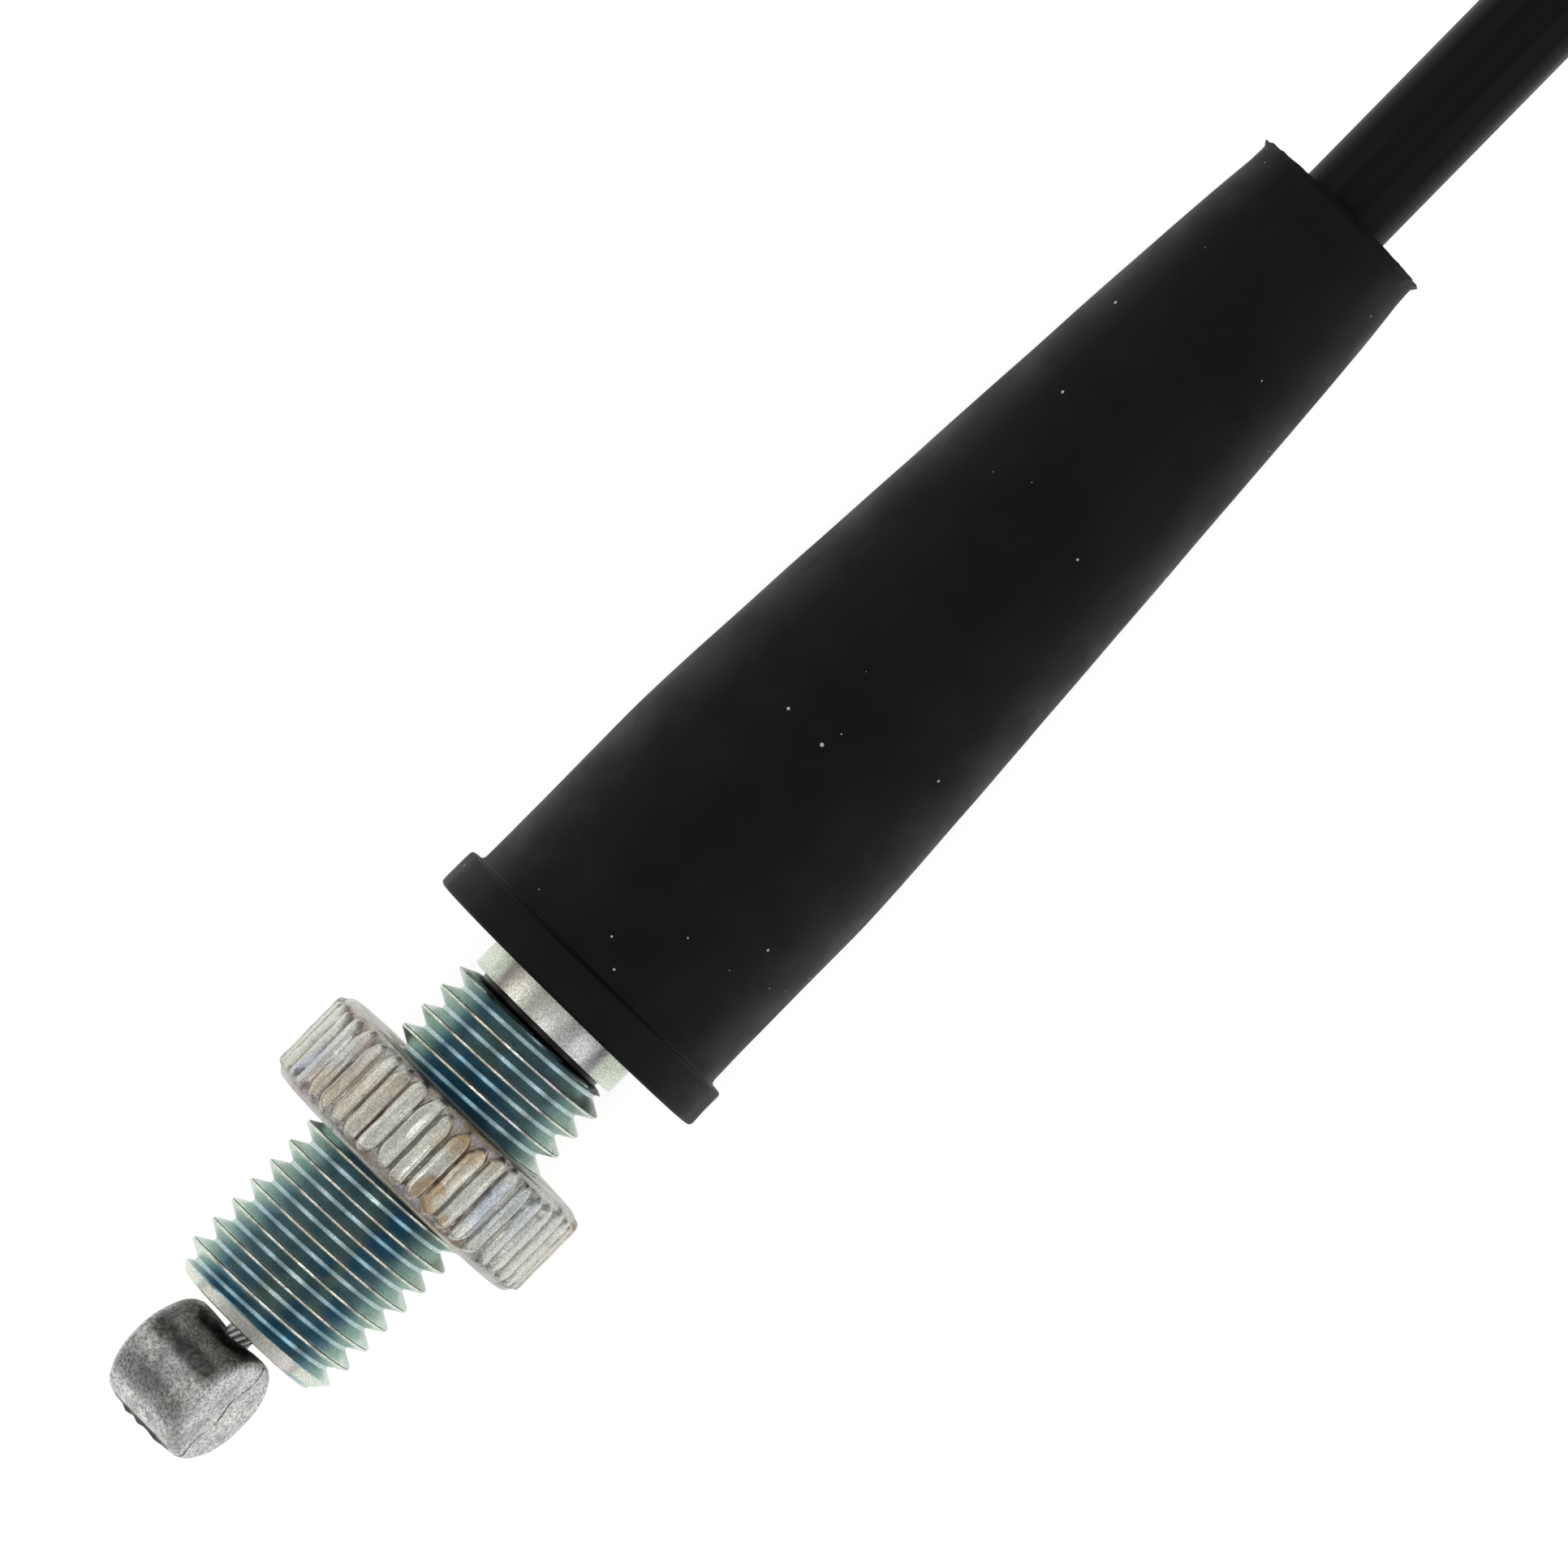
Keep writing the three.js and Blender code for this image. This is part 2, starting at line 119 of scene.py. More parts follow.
def ring_faces(rings, points, closed):
    """Quads that join each ring of points to the next, and the last to the first when closed."""
    row = np.arange(points)
    after = (row + 1) % points
    faces = []
    for i in range(rings if closed else rings - 1):
        here, there = i * points, ((i + 1) % rings) * points
        faces.append(np.stack([here + row, here + after, there + after, there + row], 1))
    return np.concatenate(faces)


def mesh_of(name, parts, merge=1e-7, sharp=math.radians(40)):
    """One mesh from (vertices, faces) pairs: coincident points merged, normals outward, edges marked."""
    mesh = bpy.data.meshes.new(name)
    vertices, faces, start = [], [], 0
    for points, quads in parts:
        vertices.append(np.asarray(points, float).reshape(-1, 3))
        faces.append(np.asarray(quads) + start)
        start += len(vertices[-1])
    mesh.from_pydata(np.concatenate(vertices).tolist(), [], np.concatenate(faces).tolist())
    work = bmesh.new()
    work.from_mesh(mesh)
    bmesh.ops.remove_doubles(work, verts=work.verts, dist=merge)
    bmesh.ops.dissolve_degenerate(work, edges=work.edges, dist=merge)
    bmesh.ops.recalc_face_normals(work, faces=work.faces)
    for face in work.faces:
        face.smooth = True
    for edge in work.edges:
        edge.smooth = not edge.is_manifold or edge.calc_face_angle(0) < sharp
    work.to_mesh(mesh)
    work.free()
    return mesh


def ring_mesh(name, rings, closed=True, **more):
    """A mesh from an array of rings, shaped (rings, points, 3)."""
    rings = np.asarray(rings, float)
    return mesh_of(name, [(rings, ring_faces(rings.shape[0], rings.shape[1], closed))], **more)


def around_axis(x, radius, angle):
    """Points about the cable's axis. Angle 0 is the +Y side and a quarter turn is the top."""
    x, radius, angle = np.broadcast_arrays(x, radius, angle)
    return np.stack([x, radius * np.cos(angle), AXIS_Z + radius * np.sin(angle)], -1)


def angles(count):
    return np.arange(count) * TURN / count


def rounded(profile, radii, steps=5):
    """A profile of [station, radius] corners in mm, each corner rounded by its own radius."""
    corners = [np.array(p, float) for p in profile]
    out = []
    for i, (here, size) in enumerate(zip(corners, radii)):
        before, after = corners[i - 1], corners[(i + 1) % len(corners)]
        to_before = (before - here) / np.linalg.norm(before - here)
        to_after = (after - here) / np.linalg.norm(after - here)
        if size <= 0:
            out.append(here)
            continue
        start, end = here + to_before * size, here + to_after * size
        for t in np.linspace(0, 1, steps + 1):
            out.append((1 - t) ** 2 * start + 2 * t * (1 - t) * here + t ** 2 * end)
    return np.array(out)


def refine(profile, longest):
    """The closed profile with every edge split until none is longer than `longest` mm."""
    out = []
    for here, after in zip(profile, np.roll(profile, -1, axis=0)):
        pieces = max(1, math.ceil(np.linalg.norm(after - here) / longest))
        out += [here + (after - here) * k / pieces for k in range(pieces)]
    return np.array(out)


def turned(name, profile, sides=96, **more):
    """A closed profile of [station, radius] in mm, turned about the cable's axis."""
    profile = np.asarray(profile, float)
    rings = around_axis(
        NOSE_X + profile[:, :1] * MM, profile[:, 1:] * MM, angles(sides)[None, :])
    return ring_mesh(name, rings, **more)


def smooth_noise(points, scale, seed=0.0):
    """Smooth noise from -1 to 1 at each point, with features about `scale` metres across."""
    shift = Vector((seed * 7.31, seed * 3.17, seed * 5.53))
    return np.array([noise.noise(Vector(p) / scale + shift) for p in points.reshape(-1, 3)]
                    ).reshape(points.shape[:-1])


print("mesh helpers ready")

# %% [markdown]
# ## The casing's route
#
# A casing is a stiff spring tube under a plastic jacket, so it leaves the boot dead straight, comes
# down to the table in one shallow bend, and is wound for storage in turns no tighter than ten
# diameters across. The turns lie beside each other in two layers: the lower one winds inwards, the
# last of it climbs, and the upper one winds outwards again over it. The far end then leaves the coil
# beside the near end. The straight stretches are listed points, and a loop works the turns out.

# %% Route of the casing
CASING_R = 2.025
LAYER = 2 * CASING_R + 0.05
COIL_OUTER_R = 27.2
COIL_STATION = 111.5
TIE_THICK = 0.5
LOW_Z = TIE_THICK + 0.3 + CASING_R
HIGH_Z = LOW_Z + LAYER
NEAR_Z = AXIS_Z / MM
DROP_START, DROP_END = 79.5, 99.5
RETURN_DROP_START, RETURN_DROP_END = 8, 28
FAR_STRAIGHT = 40
BOOT_END = 61
CASING_START = 32
POINTS_PER_TURN = 48


def eased(share):
    """Goes from 0 to 1, flat at both ends."""
    return (1 - math.cos(math.pi * min(max(share, 0), 1))) / 2


def part_of(value, start, end):
    return eased((value - start) / (end - start))


RUN_STATIONS = [
    CASING_START, 36, 40, 44, 48, 52, 56, BOOT_END, 64, 67, 70, 73, 76, DROP_START,
    82, 84.5, 87, 89.5, 92, 94.5, 97, DROP_END, 102, 105, 108,
]
RETURN_STATIONS = [3, 5.5, RETURN_DROP_START, 11, 14, 16, 18, 20, 22.5, 25, RETURN_DROP_END,
                   31, 35, 39, 43, 47, 51, 55, 59, 63]
FAR_FACE = RETURN_DROP_END + FAR_STRAIGHT
FAR_CUP_BOTTOM = FAR_FACE - 1.1


def coil_place(turns):
    """Radius and height of the winding after this many turns, in mm: in, up, and out again."""
    radius = COIL_OUTER_R
    for lap in (0, 1):
        radius -= LAYER * part_of(turns, lap + 300 / 360, lap + 1)
    for lap in (3, 4):
        radius += LAYER * part_of(turns, lap + 180 / 360, lap + 240 / 360)
    return radius, LOW_Z + LAYER * part_of(turns, 2 + 240 / 360, 2 + 300 / 360)


def casing_route():
    """The route's points in mm, from inside the near ferrule to inside the far one."""
    points = [[s, 0, NEAR_Z + (LOW_Z - NEAR_Z) * part_of(s, DROP_START, DROP_END)]
              for s in RUN_STATIONS]
    for step in range(int(5.5 * POINTS_PER_TURN) + 1):
        turns = step / POINTS_PER_TURN
        radius, height = coil_place(turns)
        points.append([COIL_STATION + radius * math.sin(TURN * turns),
                       COIL_OUTER_R - radius * math.cos(TURN * turns), height])
    far_y = 2 * COIL_OUTER_R
    for back in RETURN_STATIONS + [FAR_CUP_BOTTOM]:
        drop = part_of(back, RETURN_DROP_START, RETURN_DROP_END)
        points.append([COIL_STATION - back, far_y, HIGH_Z + (LOW_Z - HIGH_Z) * drop])
    return np.array(points)


def through(points, spacing):
    """A smooth curve through the points, resampled about this far apart (Catmull-Rom)."""
    padded = np.concatenate([[2 * points[0] - points[1]], points, [2 * points[-1] - points[-2]]])
    out = []
    for a, b, c, d in zip(padded, padded[1:], padded[2:], padded[3:]):
        pieces = max(1, round(np.linalg.norm(c - b) / spacing))
        for t in np.arange(pieces) / pieces:
            out.append(0.5 * (2 * b + (c - a) * t + (2 * a - 5 * b + 4 * c - d) * t ** 2
                              + (3 * b - a - 3 * c + d) * t ** 3))
    out.append(points[-1])
    return np.array(out)


route_mm = through(casing_route(), 1.0)
route = route_mm * MM + np.array([NOSE_X, 0, 0])

# %% [markdown]
# ## The jacket
#
# The jacket is extruded plastic: a round tube with an even wall. A swept ring of points gives it, with
# the ring carried along the route without twisting. At both ends the tube is bored out, because the
# conduit and liner run in it there; the bore stops where the coil's wire would only be hidden weight.

# %% Jacket mesh
JACKET_BORE_R = 1.55
NEAR_BORE_LENGTH = BOOT_END - 0.3 - CASING_START
FAR_BORE_LENGTH = FAR_STRAIGHT - 0.3 - 1.1
CASING_SIDES = 32


def carried_frames(points):
    """Two side directions at each point of a path, carried along it without twisting."""
    ahead = np.gradient(points, axis=0)
    ahead /= np.linalg.norm(ahead, axis=1)[:, None]
    side = np.cross(ahead[0], (0, 0, 1))
    sides = []
    for direction in ahead:
        side = side - direction * np.dot(side, direction)
        side /= np.linalg.norm(side)
        sides.append(side)
    sides = np.array(sides)
    return sides, np.cross(ahead, sides)


def swept_rings(points, radius, count):
    """A ring of `count` points about each point of the path."""
    across, up = carried_frames(points)
    turn = angles(count)[None, :, None]
    radius = np.broadcast_to(np.asarray(radius, float).reshape(-1, 1, 1), (len(points), 1, 1))
    return (points[:, None] + radius * (np.cos(turn) * across[:, None] + np.sin(turn) * up[:, None]))


def jacket():
    along = np.concatenate([[0], np.cumsum(np.linalg.norm(np.diff(route, axis=0), axis=1))]) / MM
    outside = swept_rings(route, CASING_R * MM, CASING_SIDES)
    bore = swept_rings(route, JACKET_BORE_R * MM, CASING_SIDES)
    near = bore[along < NEAR_BORE_LENGTH][::-1]
    far = bore[along > along[-1] - FAR_BORE_LENGTH][::-1]
    near_floor = np.repeat(near[:1].mean(axis=1, keepdims=True), CASING_SIDES, axis=1)
    far_floor = np.repeat(far[-1:].mean(axis=1, keepdims=True), CASING_SIDES, axis=1)
    rings = np.concatenate([near_floor, near, outside, far, far_floor])
    return ring_mesh("casing_jacket", rings, closed=False)


casing = add_object("casing_jacket", jacket())
print("jacket faces:", len(casing.data.polygons))

# %% [markdown]
# ## Materials: shared effects
#
# Four effects come up again and again on small hardware, so each is a node group with its own inputs.
# *Grain* is fine relief from moulding, casting or drawing. *Specks* are grains of dust, which land
# singly and at random, so they come from the random value of Voronoi cells rather than from smooth
# noise. *Stain* blends three colours in soft patches, as passivated zinc does. *Scuffs* are short
# fine lines, made by squeezing noise along one direction.

# %% Node groups
class Tree:
    """A node tree with a short way to add nodes and to join them."""

    def __init__(self, tree):
        self.tree = tree

    def add(self, kind, inputs=None, **settings):
        """A node with its settings; each input is a value, or another node's output."""
        node = self.tree.nodes.new(kind)
        for key, value in settings.items():
            setattr(node, key, value)
        for name, value in (inputs or {}).items():
            self.join(value, node.inputs[name])
        return node

    def join(self, value, socket):
        if isinstance(value, bpy.types.NodeSocket):
            self.tree.links.new(value, socket)
        else:
            socket.default_value = value

    def math(self, operation, first, second=0.0):
        node = self.add("ShaderNodeMath", {0: first, 1: second}, operation=operation)
        return node.outputs[0]

    def ramp(self, value, low, high, to_low=0.0, to_high=1.0):
        """`value` from low to high, eased into to_low to to_high."""
        node = self.add("ShaderNodeMapRange", {
            "Value": value, "From Min": low, "From Max": high, "To Min": to_low, "To Max": to_high,
        }, interpolation_type="SMOOTHSTEP")
        return node.outputs["Result"]

    def mix(self, factor, first, second):
        """A blend of two colours."""
        node = self.add("ShaderNodeMix", data_type="RGBA")
        for value, index in ((factor, 0), (first, 6), (second, 7)):
            self.join(value, node.inputs[index])
        return node.outputs[2]

    def noise(self, scale, detail=3.0, seed=0.0, stretch=(1, 1, 1), distortion=0.0):
        """Smooth noise in the piece's own space; a small stretch value makes it long that way."""
        spot = self.add("ShaderNodeTexCoord").outputs["Object"]
        spot = self.add("ShaderNodeMapping", {"Vector": spot, "Scale": stretch}).outputs["Vector"]
        node = self.add("ShaderNodeTexNoise", {
            "Vector": spot, "W": seed, "Scale": scale, "Detail": detail, "Distortion": distortion,
        }, noise_dimensions="4D")
        return node.outputs["Fac"]


def group(name, inputs, outputs):
    """A shader node group with (name, kind, default) inputs and (name, kind) outputs."""
    made = bpy.data.node_groups.new(name, "ShaderNodeTree")
    for title, kind, default in inputs:
        made.interface.new_socket(name=title, in_out="INPUT", socket_type=kind).default_value = default
    for title, kind in outputs:
        made.interface.new_socket(name=title, in_out="OUTPUT", socket_type=kind)
    tree = Tree(made)
    return tree, tree.add("NodeGroupInput").outputs, tree.add("NodeGroupOutput").inputs


NUMBER, COLOUR = "NodeSocketFloat", "NodeSocketColor"
WHITE = (1, 1, 1, 1)

tree, given, out = group(
    "grain", [("Scale", NUMBER, 6000.0), ("Pits", NUMBER, 0.5)], [("Height", NUMBER)])
fine = tree.noise(given["Scale"], detail=4.0)
pits = tree.ramp(tree.noise(tree.math("MULTIPLY", given["Scale"], 0.35), seed=4.0), 0.28, 0.42)
tree.join(tree.math("ADD", fine, tree.math("MULTIPLY", pits, given["Pits"])), out["Height"])
grain_group = tree.tree

tree, given, out = group(
    "specks", [("Scale", NUMBER, 900.0), ("Amount", NUMBER, 0.02), ("Size", NUMBER, 0.15)],
    [("Mask", NUMBER)])
cells = tree.add("ShaderNodeTexVoronoi", {
    "Vector": tree.add("ShaderNodeTexCoord").outputs["Object"], "Scale": given["Scale"]})
chance = tree.add("ShaderNodeSeparateColor", {"Color": cells.outputs["Color"]}).outputs
landed = tree.math("LESS_THAN", chance[0], given["Amount"])
reach = tree.math("MULTIPLY", chance[1], given["Size"])
inside = tree.math("LESS_THAN", cells.outputs["Distance"], reach)
tree.join(tree.math("MULTIPLY", landed, inside), out["Mask"])
specks_group = tree.tree

tree, given, out = group(
    "stain", [("Scale", NUMBER, 300.0), ("First", COLOUR, WHITE), ("Second", COLOUR, WHITE),
              ("Third", COLOUR, WHITE)], [("Color", COLOUR)])
second = tree.ramp(tree.noise(given["Scale"], 3.0, 1.7, (0.6, 1, 1), 0.6), 0.47, 0.62)
third = tree.ramp(tree.noise(given["Scale"], 3.0, 9.2, (0.6, 1, 1), 0.6), 0.52, 0.68)
tree.join(tree.mix(third, tree.mix(second, given["First"], given["Second"]), given["Third"]),
          out["Color"])
stain_group = tree.tree

tree, given, out = group(
    "scuffs", [("Scale", NUMBER, 900.0), ("Amount", NUMBER, 0.3)], [("Mask", NUMBER)])
lines = [tree.ramp(tree.noise(given["Scale"], 2.0, seed, stretch), 0.62, 0.72)
         for seed, stretch in ((2.0, (0.05, 1, 1)), (5.0, (1, 0.08, 0.08)))]
tree.join(tree.math("MULTIPLY", tree.math("ADD", *lines), given["Amount"]), out["Mask"])
scuffs_group = tree.tree
print("node groups:", [g.name for g in bpy.data.node_groups])

# %% [markdown]
# ## Materials: the finishes
#
# One function lays out what all the finishes share: a Principled shader, a bump fed by a height, and
# places to plug in colour and roughness. Each finish then says only what is its own. The plated steel
# reads a value named `depth` that the thread and the knurl carry in their meshes, because the plating
# tank leaves a thicker, bluer film deep in a groove, and handling polishes the crests. The same value
# paints a highlight along the thread's roots, and paints shade near black in the thread's relief groove
# and crest fold and at the knurl's rib ends, along with real dirt. Towards the thread's sides, by
# distance from the axis, the film and the open metal take a painted reflection: pale, with a dark band
# just inside. The cast zinc reads the same value as soot, with a painted shadow at the wire's mouth, or
# where it is below zero as a painted highlight along one edge.

# %% Materials
class Finish(Tree):
    """A material with a Principled shader whose plain values are set on its own sockets."""

    def __init__(self, name, bump=0.3, bump_distance=0.02 * MM, **plain):
        self.material = bpy.data.materials.new(name)
        self.material.use_nodes = True
        super().__init__(self.material.node_tree)
        self.shader = self.tree.nodes["Principled BSDF"]
        self.bump = self.add("ShaderNodeBump", {"Strength": bump, "Distance": bump_distance})
        self.join(self.bump.outputs["Normal"], self.shader.inputs["Normal"])
        for key, value in plain.items():
            self.shader.inputs[key.replace("_", " ")].default_value = value

    def effect(self, node_group, **inputs):
        """One of the shared effects, with its own values; gives its first output."""
        node = self.add("ShaderNodeGroup", node_tree=node_group)
        for name, value in inputs.items():
            self.join(value, node.inputs[name])
        return node.outputs[0]

    def set(self, name, value):
        self.join(value, self.shader.inputs[name])

    def height(self, value):
        self.join(value, self.bump.inputs["Height"])

    def depth(self):
        return self.add("ShaderNodeAttribute", attribute_name="depth").outputs["Fac"]


def grey(value):
    return (value, value, value, 1)


# A depth this high paints shade near black.
PAINTED_SHADE = 2.0
# Shares of the first sheen distance: a painted dark reflection band, then a painted pale sheen.
DARK_BAND_FROM, DARK_BAND_DARKEST, DARK_BAND_LIFTS, DARK_BAND_TO = 1.1, 1.25, 1.28, 1.4
SHEEN_FROM, SHEEN_TO = 1.25, 1.45


def plated_steel(name, plain, deep, root, scale, rough, film_to, sheen_span=(1, 2),
                 stained_at=1.0):
    """Passivated zinc: three colours for open metal, three for the film in grooves, one for roots, which on
    the thread is a painted highlight.

    The film sets in at the depth `film_to`. Over a pair of distances sideways from the axis, given after
    `film_to`, the film turns pale green: a painted reflection. Open metal has a painted dark reflection
    band there, at shares of the first distance, and a painted pale sheen beyond it. Deep values paint
    shade near black, mixed with dirt.
    `stained_at` is the Y of an old straw stain."""
    made = Finish(name, bump=0.6, bump_distance=0.014 * MM, Metallic=1.0)
    depth = made.depth()
    open_metal = made.effect(
        stain_group, Scale=scale, First=plain[0], Second=plain[1], Third=plain[2])
    film = made.effect(
        stain_group, Scale=scale * 1.4, First=deep[0], Second=deep[1], Third=deep[2])
    across = made.add("ShaderNodeSeparateXYZ", {
        "Vector": made.add("ShaderNodeTexCoord").outputs["Object"]}).outputs["Y"]
    sideways = made.math("ABSOLUTE", across)
    # Painted reflection: the film turns pale green towards the sides, by distance from the axis.
    film = made.mix(made.ramp(sideways, *sheen_span), film, EDGE_SHEEN_FILM)
    # Painted reflection on open metal: a pale sheen towards the sides, with a dark band just inside it.
    edge_sheen = made.ramp(sideways, SHEEN_FROM * sheen_span[0], SHEEN_TO * sheen_span[0])
    open_metal = made.mix(edge_sheen, open_metal, EDGE_SHEEN_METAL)
    dark_band = made.math("MULTIPLY", made.ramp(sideways, DARK_BAND_FROM * sheen_span[0], DARK_BAND_DARKEST * sheen_span[0]),
                     made.ramp(sideways, DARK_BAND_TO * sheen_span[0], DARK_BAND_LIFTS * sheen_span[0]))
    open_metal = made.mix(made.math("MULTIPLY", dark_band, 0.45), open_metal, grey(0.22))
    from_stain = made.math("ABSOLUTE", made.math("SUBTRACT", across, stained_at))
    stained = made.math("MULTIPLY", made.ramp(from_stain, 2.4 * MM, 0.8 * MM),
                        made.ramp(made.noise(420, 4.0, 12.0), 0.38, 0.56))
    open_metal = made.mix(stained, open_metal, OLD_STRAW)
    colour = made.mix(made.ramp(depth, 0.01, film_to), open_metal, film)
    # A painted highlight along the thread's roots; on the nut this depth band takes the dirt colour it is
    # given.
    colour = made.mix(made.ramp(depth, 1.15, 1.21), colour, root)
    grit = made.ramp(made.noise(14000, 3.0, 5.0), 0.40, 0.62, 0.0, 0.42)
    colour = made.mix(grit, colour, grey(0.10))
    # Near black from the depth: painted shade in the thread's relief groove and crest fold and at the nut's
    # rib ends, along with patches of real dirt.
    dirt = made.math("MULTIPLY", made.ramp(made.noise(1500, 5.0, 3.0), 0.60, 0.74), 0.45)
    dirt_and_shade = made.math("MAXIMUM", dirt, made.ramp(depth, 1.4, 1.8))
    made.set("Base Color", made.mix(dirt_and_shade, colour, grey(0.02)))
    cloudy = made.ramp(made.noise(700, 4.0, 7.0), 0.3, 0.7, rough - 0.07, rough + 0.12)
    made.set("Roughness", made.math("ADD", cloudy, made.effect(scuffs_group, Scale=1400, Amount=0.1)))
    made.height(made.effect(grain_group, Scale=9000, Pits=0.4))
    return made.material


def black_rubber():
    made = Finish("black_rubber", bump=0.5, bump_distance=0.015 * MM, Specular_IOR_Level=0.14)
    dust = made.effect(specks_group, Scale=1000, Amount=0.6, Size=0.085)
    bloom = made.ramp(made.noise(160, 5.0, 2.0), 0.35, 0.75)
    colour = made.mix(bloom, grey(0.0006), (0.0026, 0.0025, 0.0023, 1))
    made.set("Base Color", made.mix(dust, colour, grey(0.45)))
    made.set("Roughness", made.ramp(made.noise(420, 5.0, 6.0), 0.3, 0.7, 0.50, 0.64))
    made.height(made.effect(grain_group, Scale=7000, Pits=0.3))
    return made.material


def jacket_plastic():
    made = Finish("jacket_plastic", bump=0.3, bump_distance=0.015 * MM, Specular_IOR_Level=0.10)
    dust = made.effect(specks_group, Scale=1000, Amount=0.2, Size=0.06)
    drawn = made.noise(2600, 3.0, 1.0, (0.04, 1, 1))
    made.set("Base Color", made.mix(dust, made.mix(drawn, grey(0.002), grey(0.004)), grey(0.35)))
    made.set("Roughness", made.ramp(drawn, 0.3, 0.7, 0.36, 0.50))
    made.height(made.math("ADD", drawn, made.effect(grain_group, Scale=8000, Pits=0.2)))
    return made.material


def cast_zinc():
    made = Finish("cast_zinc", bump=0.9, bump_distance=0.025 * MM, Metallic=0.95)
    patches = made.effect(
        stain_group, Scale=900, First=grey(0.58), Second=grey(0.40), Third=(0.70, 0.69, 0.66, 1))
    mottle = made.ramp(made.noise(8000, 5.0, 8.0, distortion=0.6), 0.42, 0.62, 0.0, 0.72)
    colour = made.mix(mottle, patches, grey(0.14))
    rust = made.ramp(made.noise(1300, 4.0, 15.0), 0.60, 0.72, 0.0, 0.5)
    colour = made.mix(rust, colour, (0.26, 0.17, 0.12, 1))
    # Painted highlight: where the depth is below zero the colour is mixed towards white.
    painted_edge_highlight = made.ramp(made.depth(), 0.0, -0.5, 0.0, 0.95)
    colour = made.mix(painted_edge_highlight, colour, grey(1.0))
    patchy = made.ramp(made.noise(3600, 6.0, 2.0), 0.25, 0.65, 0.80, 0.98)
    # Dark from the depth: soot, and the painted shadow at the wire's mouth.
    grime_and_shadow = made.math("MAXIMUM", made.math("MULTIPLY", made.depth(), patchy), 0.0)
    made.set("Base Color", made.mix(grime_and_shadow, colour, (0.030, 0.027, 0.024, 1)))
    made.set("Roughness", made.ramp(made.noise(2400, 5.0, 4.0), 0.3, 0.7, 0.30, 0.52))
    relief = made.ramp(made.depth(), -0.5, 0.0, 0.25, 1.0)
    made.height(made.math("MULTIPLY", made.effect(grain_group, Scale=5200, Pits=0.8), relief))
    return made.material


def drawn_steel(name, colour, rough):
    made = Finish(name, bump=0.2, bump_distance=0.01 * MM, Metallic=1.0)
    tint = made.noise(900, 4.0, 2.0, (0.1, 1, 1))
    made.set("Base Color", made.mix(tint, colour, grey(colour[0] * 0.6)))
    made.set("Roughness", made.ramp(tint, 0.3, 0.7, rough - 0.06, rough + 0.1))
    made.height(made.effect(grain_group, Scale=9000, Pits=0.3))
    return made.material


def moulded_plastic(name, colour, rough):
    made = Finish(name, bump=0.25, bump_distance=0.01 * MM, IOR=1.5)
    cloud = made.noise(500, 4.0, 3.0)
    made.set("Base Color", made.mix(cloud, colour, tuple(c * 0.7 for c in colour[:3]) + (1,)))
    made.set("Roughness", made.ramp(cloud, 0.3, 0.7, rough - 0.06, rough + 0.08))
    made.height(made.effect(grain_group, Scale=6000, Pits=0.2))
    return made.material


SILVER, WARM, PALE_LILAC = (0.64, 0.65, 0.58, 1), (0.64, 0.60, 0.50, 1), (0.60, 0.58, 0.59, 1)
TEAL, DEEP_BLUE, SEA_GREEN = (0.30, 0.43, 0.46, 1), (0.15, 0.32, 0.42, 1), (0.38, 0.47, 0.44, 1)
# Pale colours for the painted reflection towards the sides of the thread.
EDGE_SHEEN_FILM, EDGE_SHEEN_METAL = (0.56, 0.70, 0.62, 1), (0.68, 0.74, 0.62, 1)
STRAW, DIRTY_LILAC = (0.56, 0.50, 0.40, 1), (0.40, 0.36, 0.40, 1)
DIRTY_ZINC, BROWN_ZINC = (0.40, 0.40, 0.37, 1), (0.33, 0.27, 0.22, 1)
OLD_STRAW, PALE_BLUE = (0.46, 0.33, 0.18, 1), (0.50, 0.54, 0.62, 1)
THREAD_FINISH = plated_steel(
    "plated_thread", (SILVER, WARM, PALE_LILAC), (TEAL, DEEP_BLUE, SEA_GREEN), (0.40, 0.53, 0.57, 1),
    260, 0.32, 0.17, (1.9 * MM, 3.7 * MM))
NUT_FINISH = plated_steel(
    "plated_nut", (SILVER, STRAW, PALE_BLUE), (DIRTY_ZINC, BROWN_ZINC, DIRTY_LILAC), DIRTY_LILAC,
    240, 0.34, 0.95, stained_at=-1.3 * MM)
FERRULE_FINISH = plated_steel(
    "plated_ferrule", (SILVER, WARM, PALE_LILAC), (TEAL, DEEP_BLUE, SEA_GREEN), SILVER, 200, 0.30, 0.5)
RUBBER = black_rubber()
JACKET = jacket_plastic()
CAST_ZINC = cast_zinc()
WIRE_FINISH = drawn_steel("wire_steel", (0.50, 0.50, 0.50, 1), 0.32)
CONDUIT_FINISH = drawn_steel("conduit_steel", (0.42, 0.43, 0.44, 1), 0.38)
LINER = moulded_plastic("liner_plastic", (0.80, 0.78, 0.72, 1), 0.42)
NYLON = moulded_plastic("tie_nylon", (0.013, 0.013, 0.014, 1), 0.42)


def place(piece, body, finish, slot, *nodes):
    """Gives a piece its finish, joins it to its body and hides the CAD nodes it stands for."""
    piece.data.materials.clear()
    piece.data.materials.append(finish)
    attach(piece, body)
    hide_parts(*nodes)
    return piece


def set_depth(piece, depth_of):
    """Stores how deep each point lies, from a function of its station, radius (mm) and angle."""
    spots = np.array([v.co for v in piece.data.vertices])
    across, up = spots[:, 1], spots[:, 2] - AXIS_Z
    values = depth_of((spots[:, 0] - NOSE_X) / MM, np.hypot(across, up) / MM, np.arctan2(up, across))
    piece.data.attributes.new("depth", "FLOAT", "POINT").data.foreach_set(
        "value", (values + 0 * across).astype(np.float32))


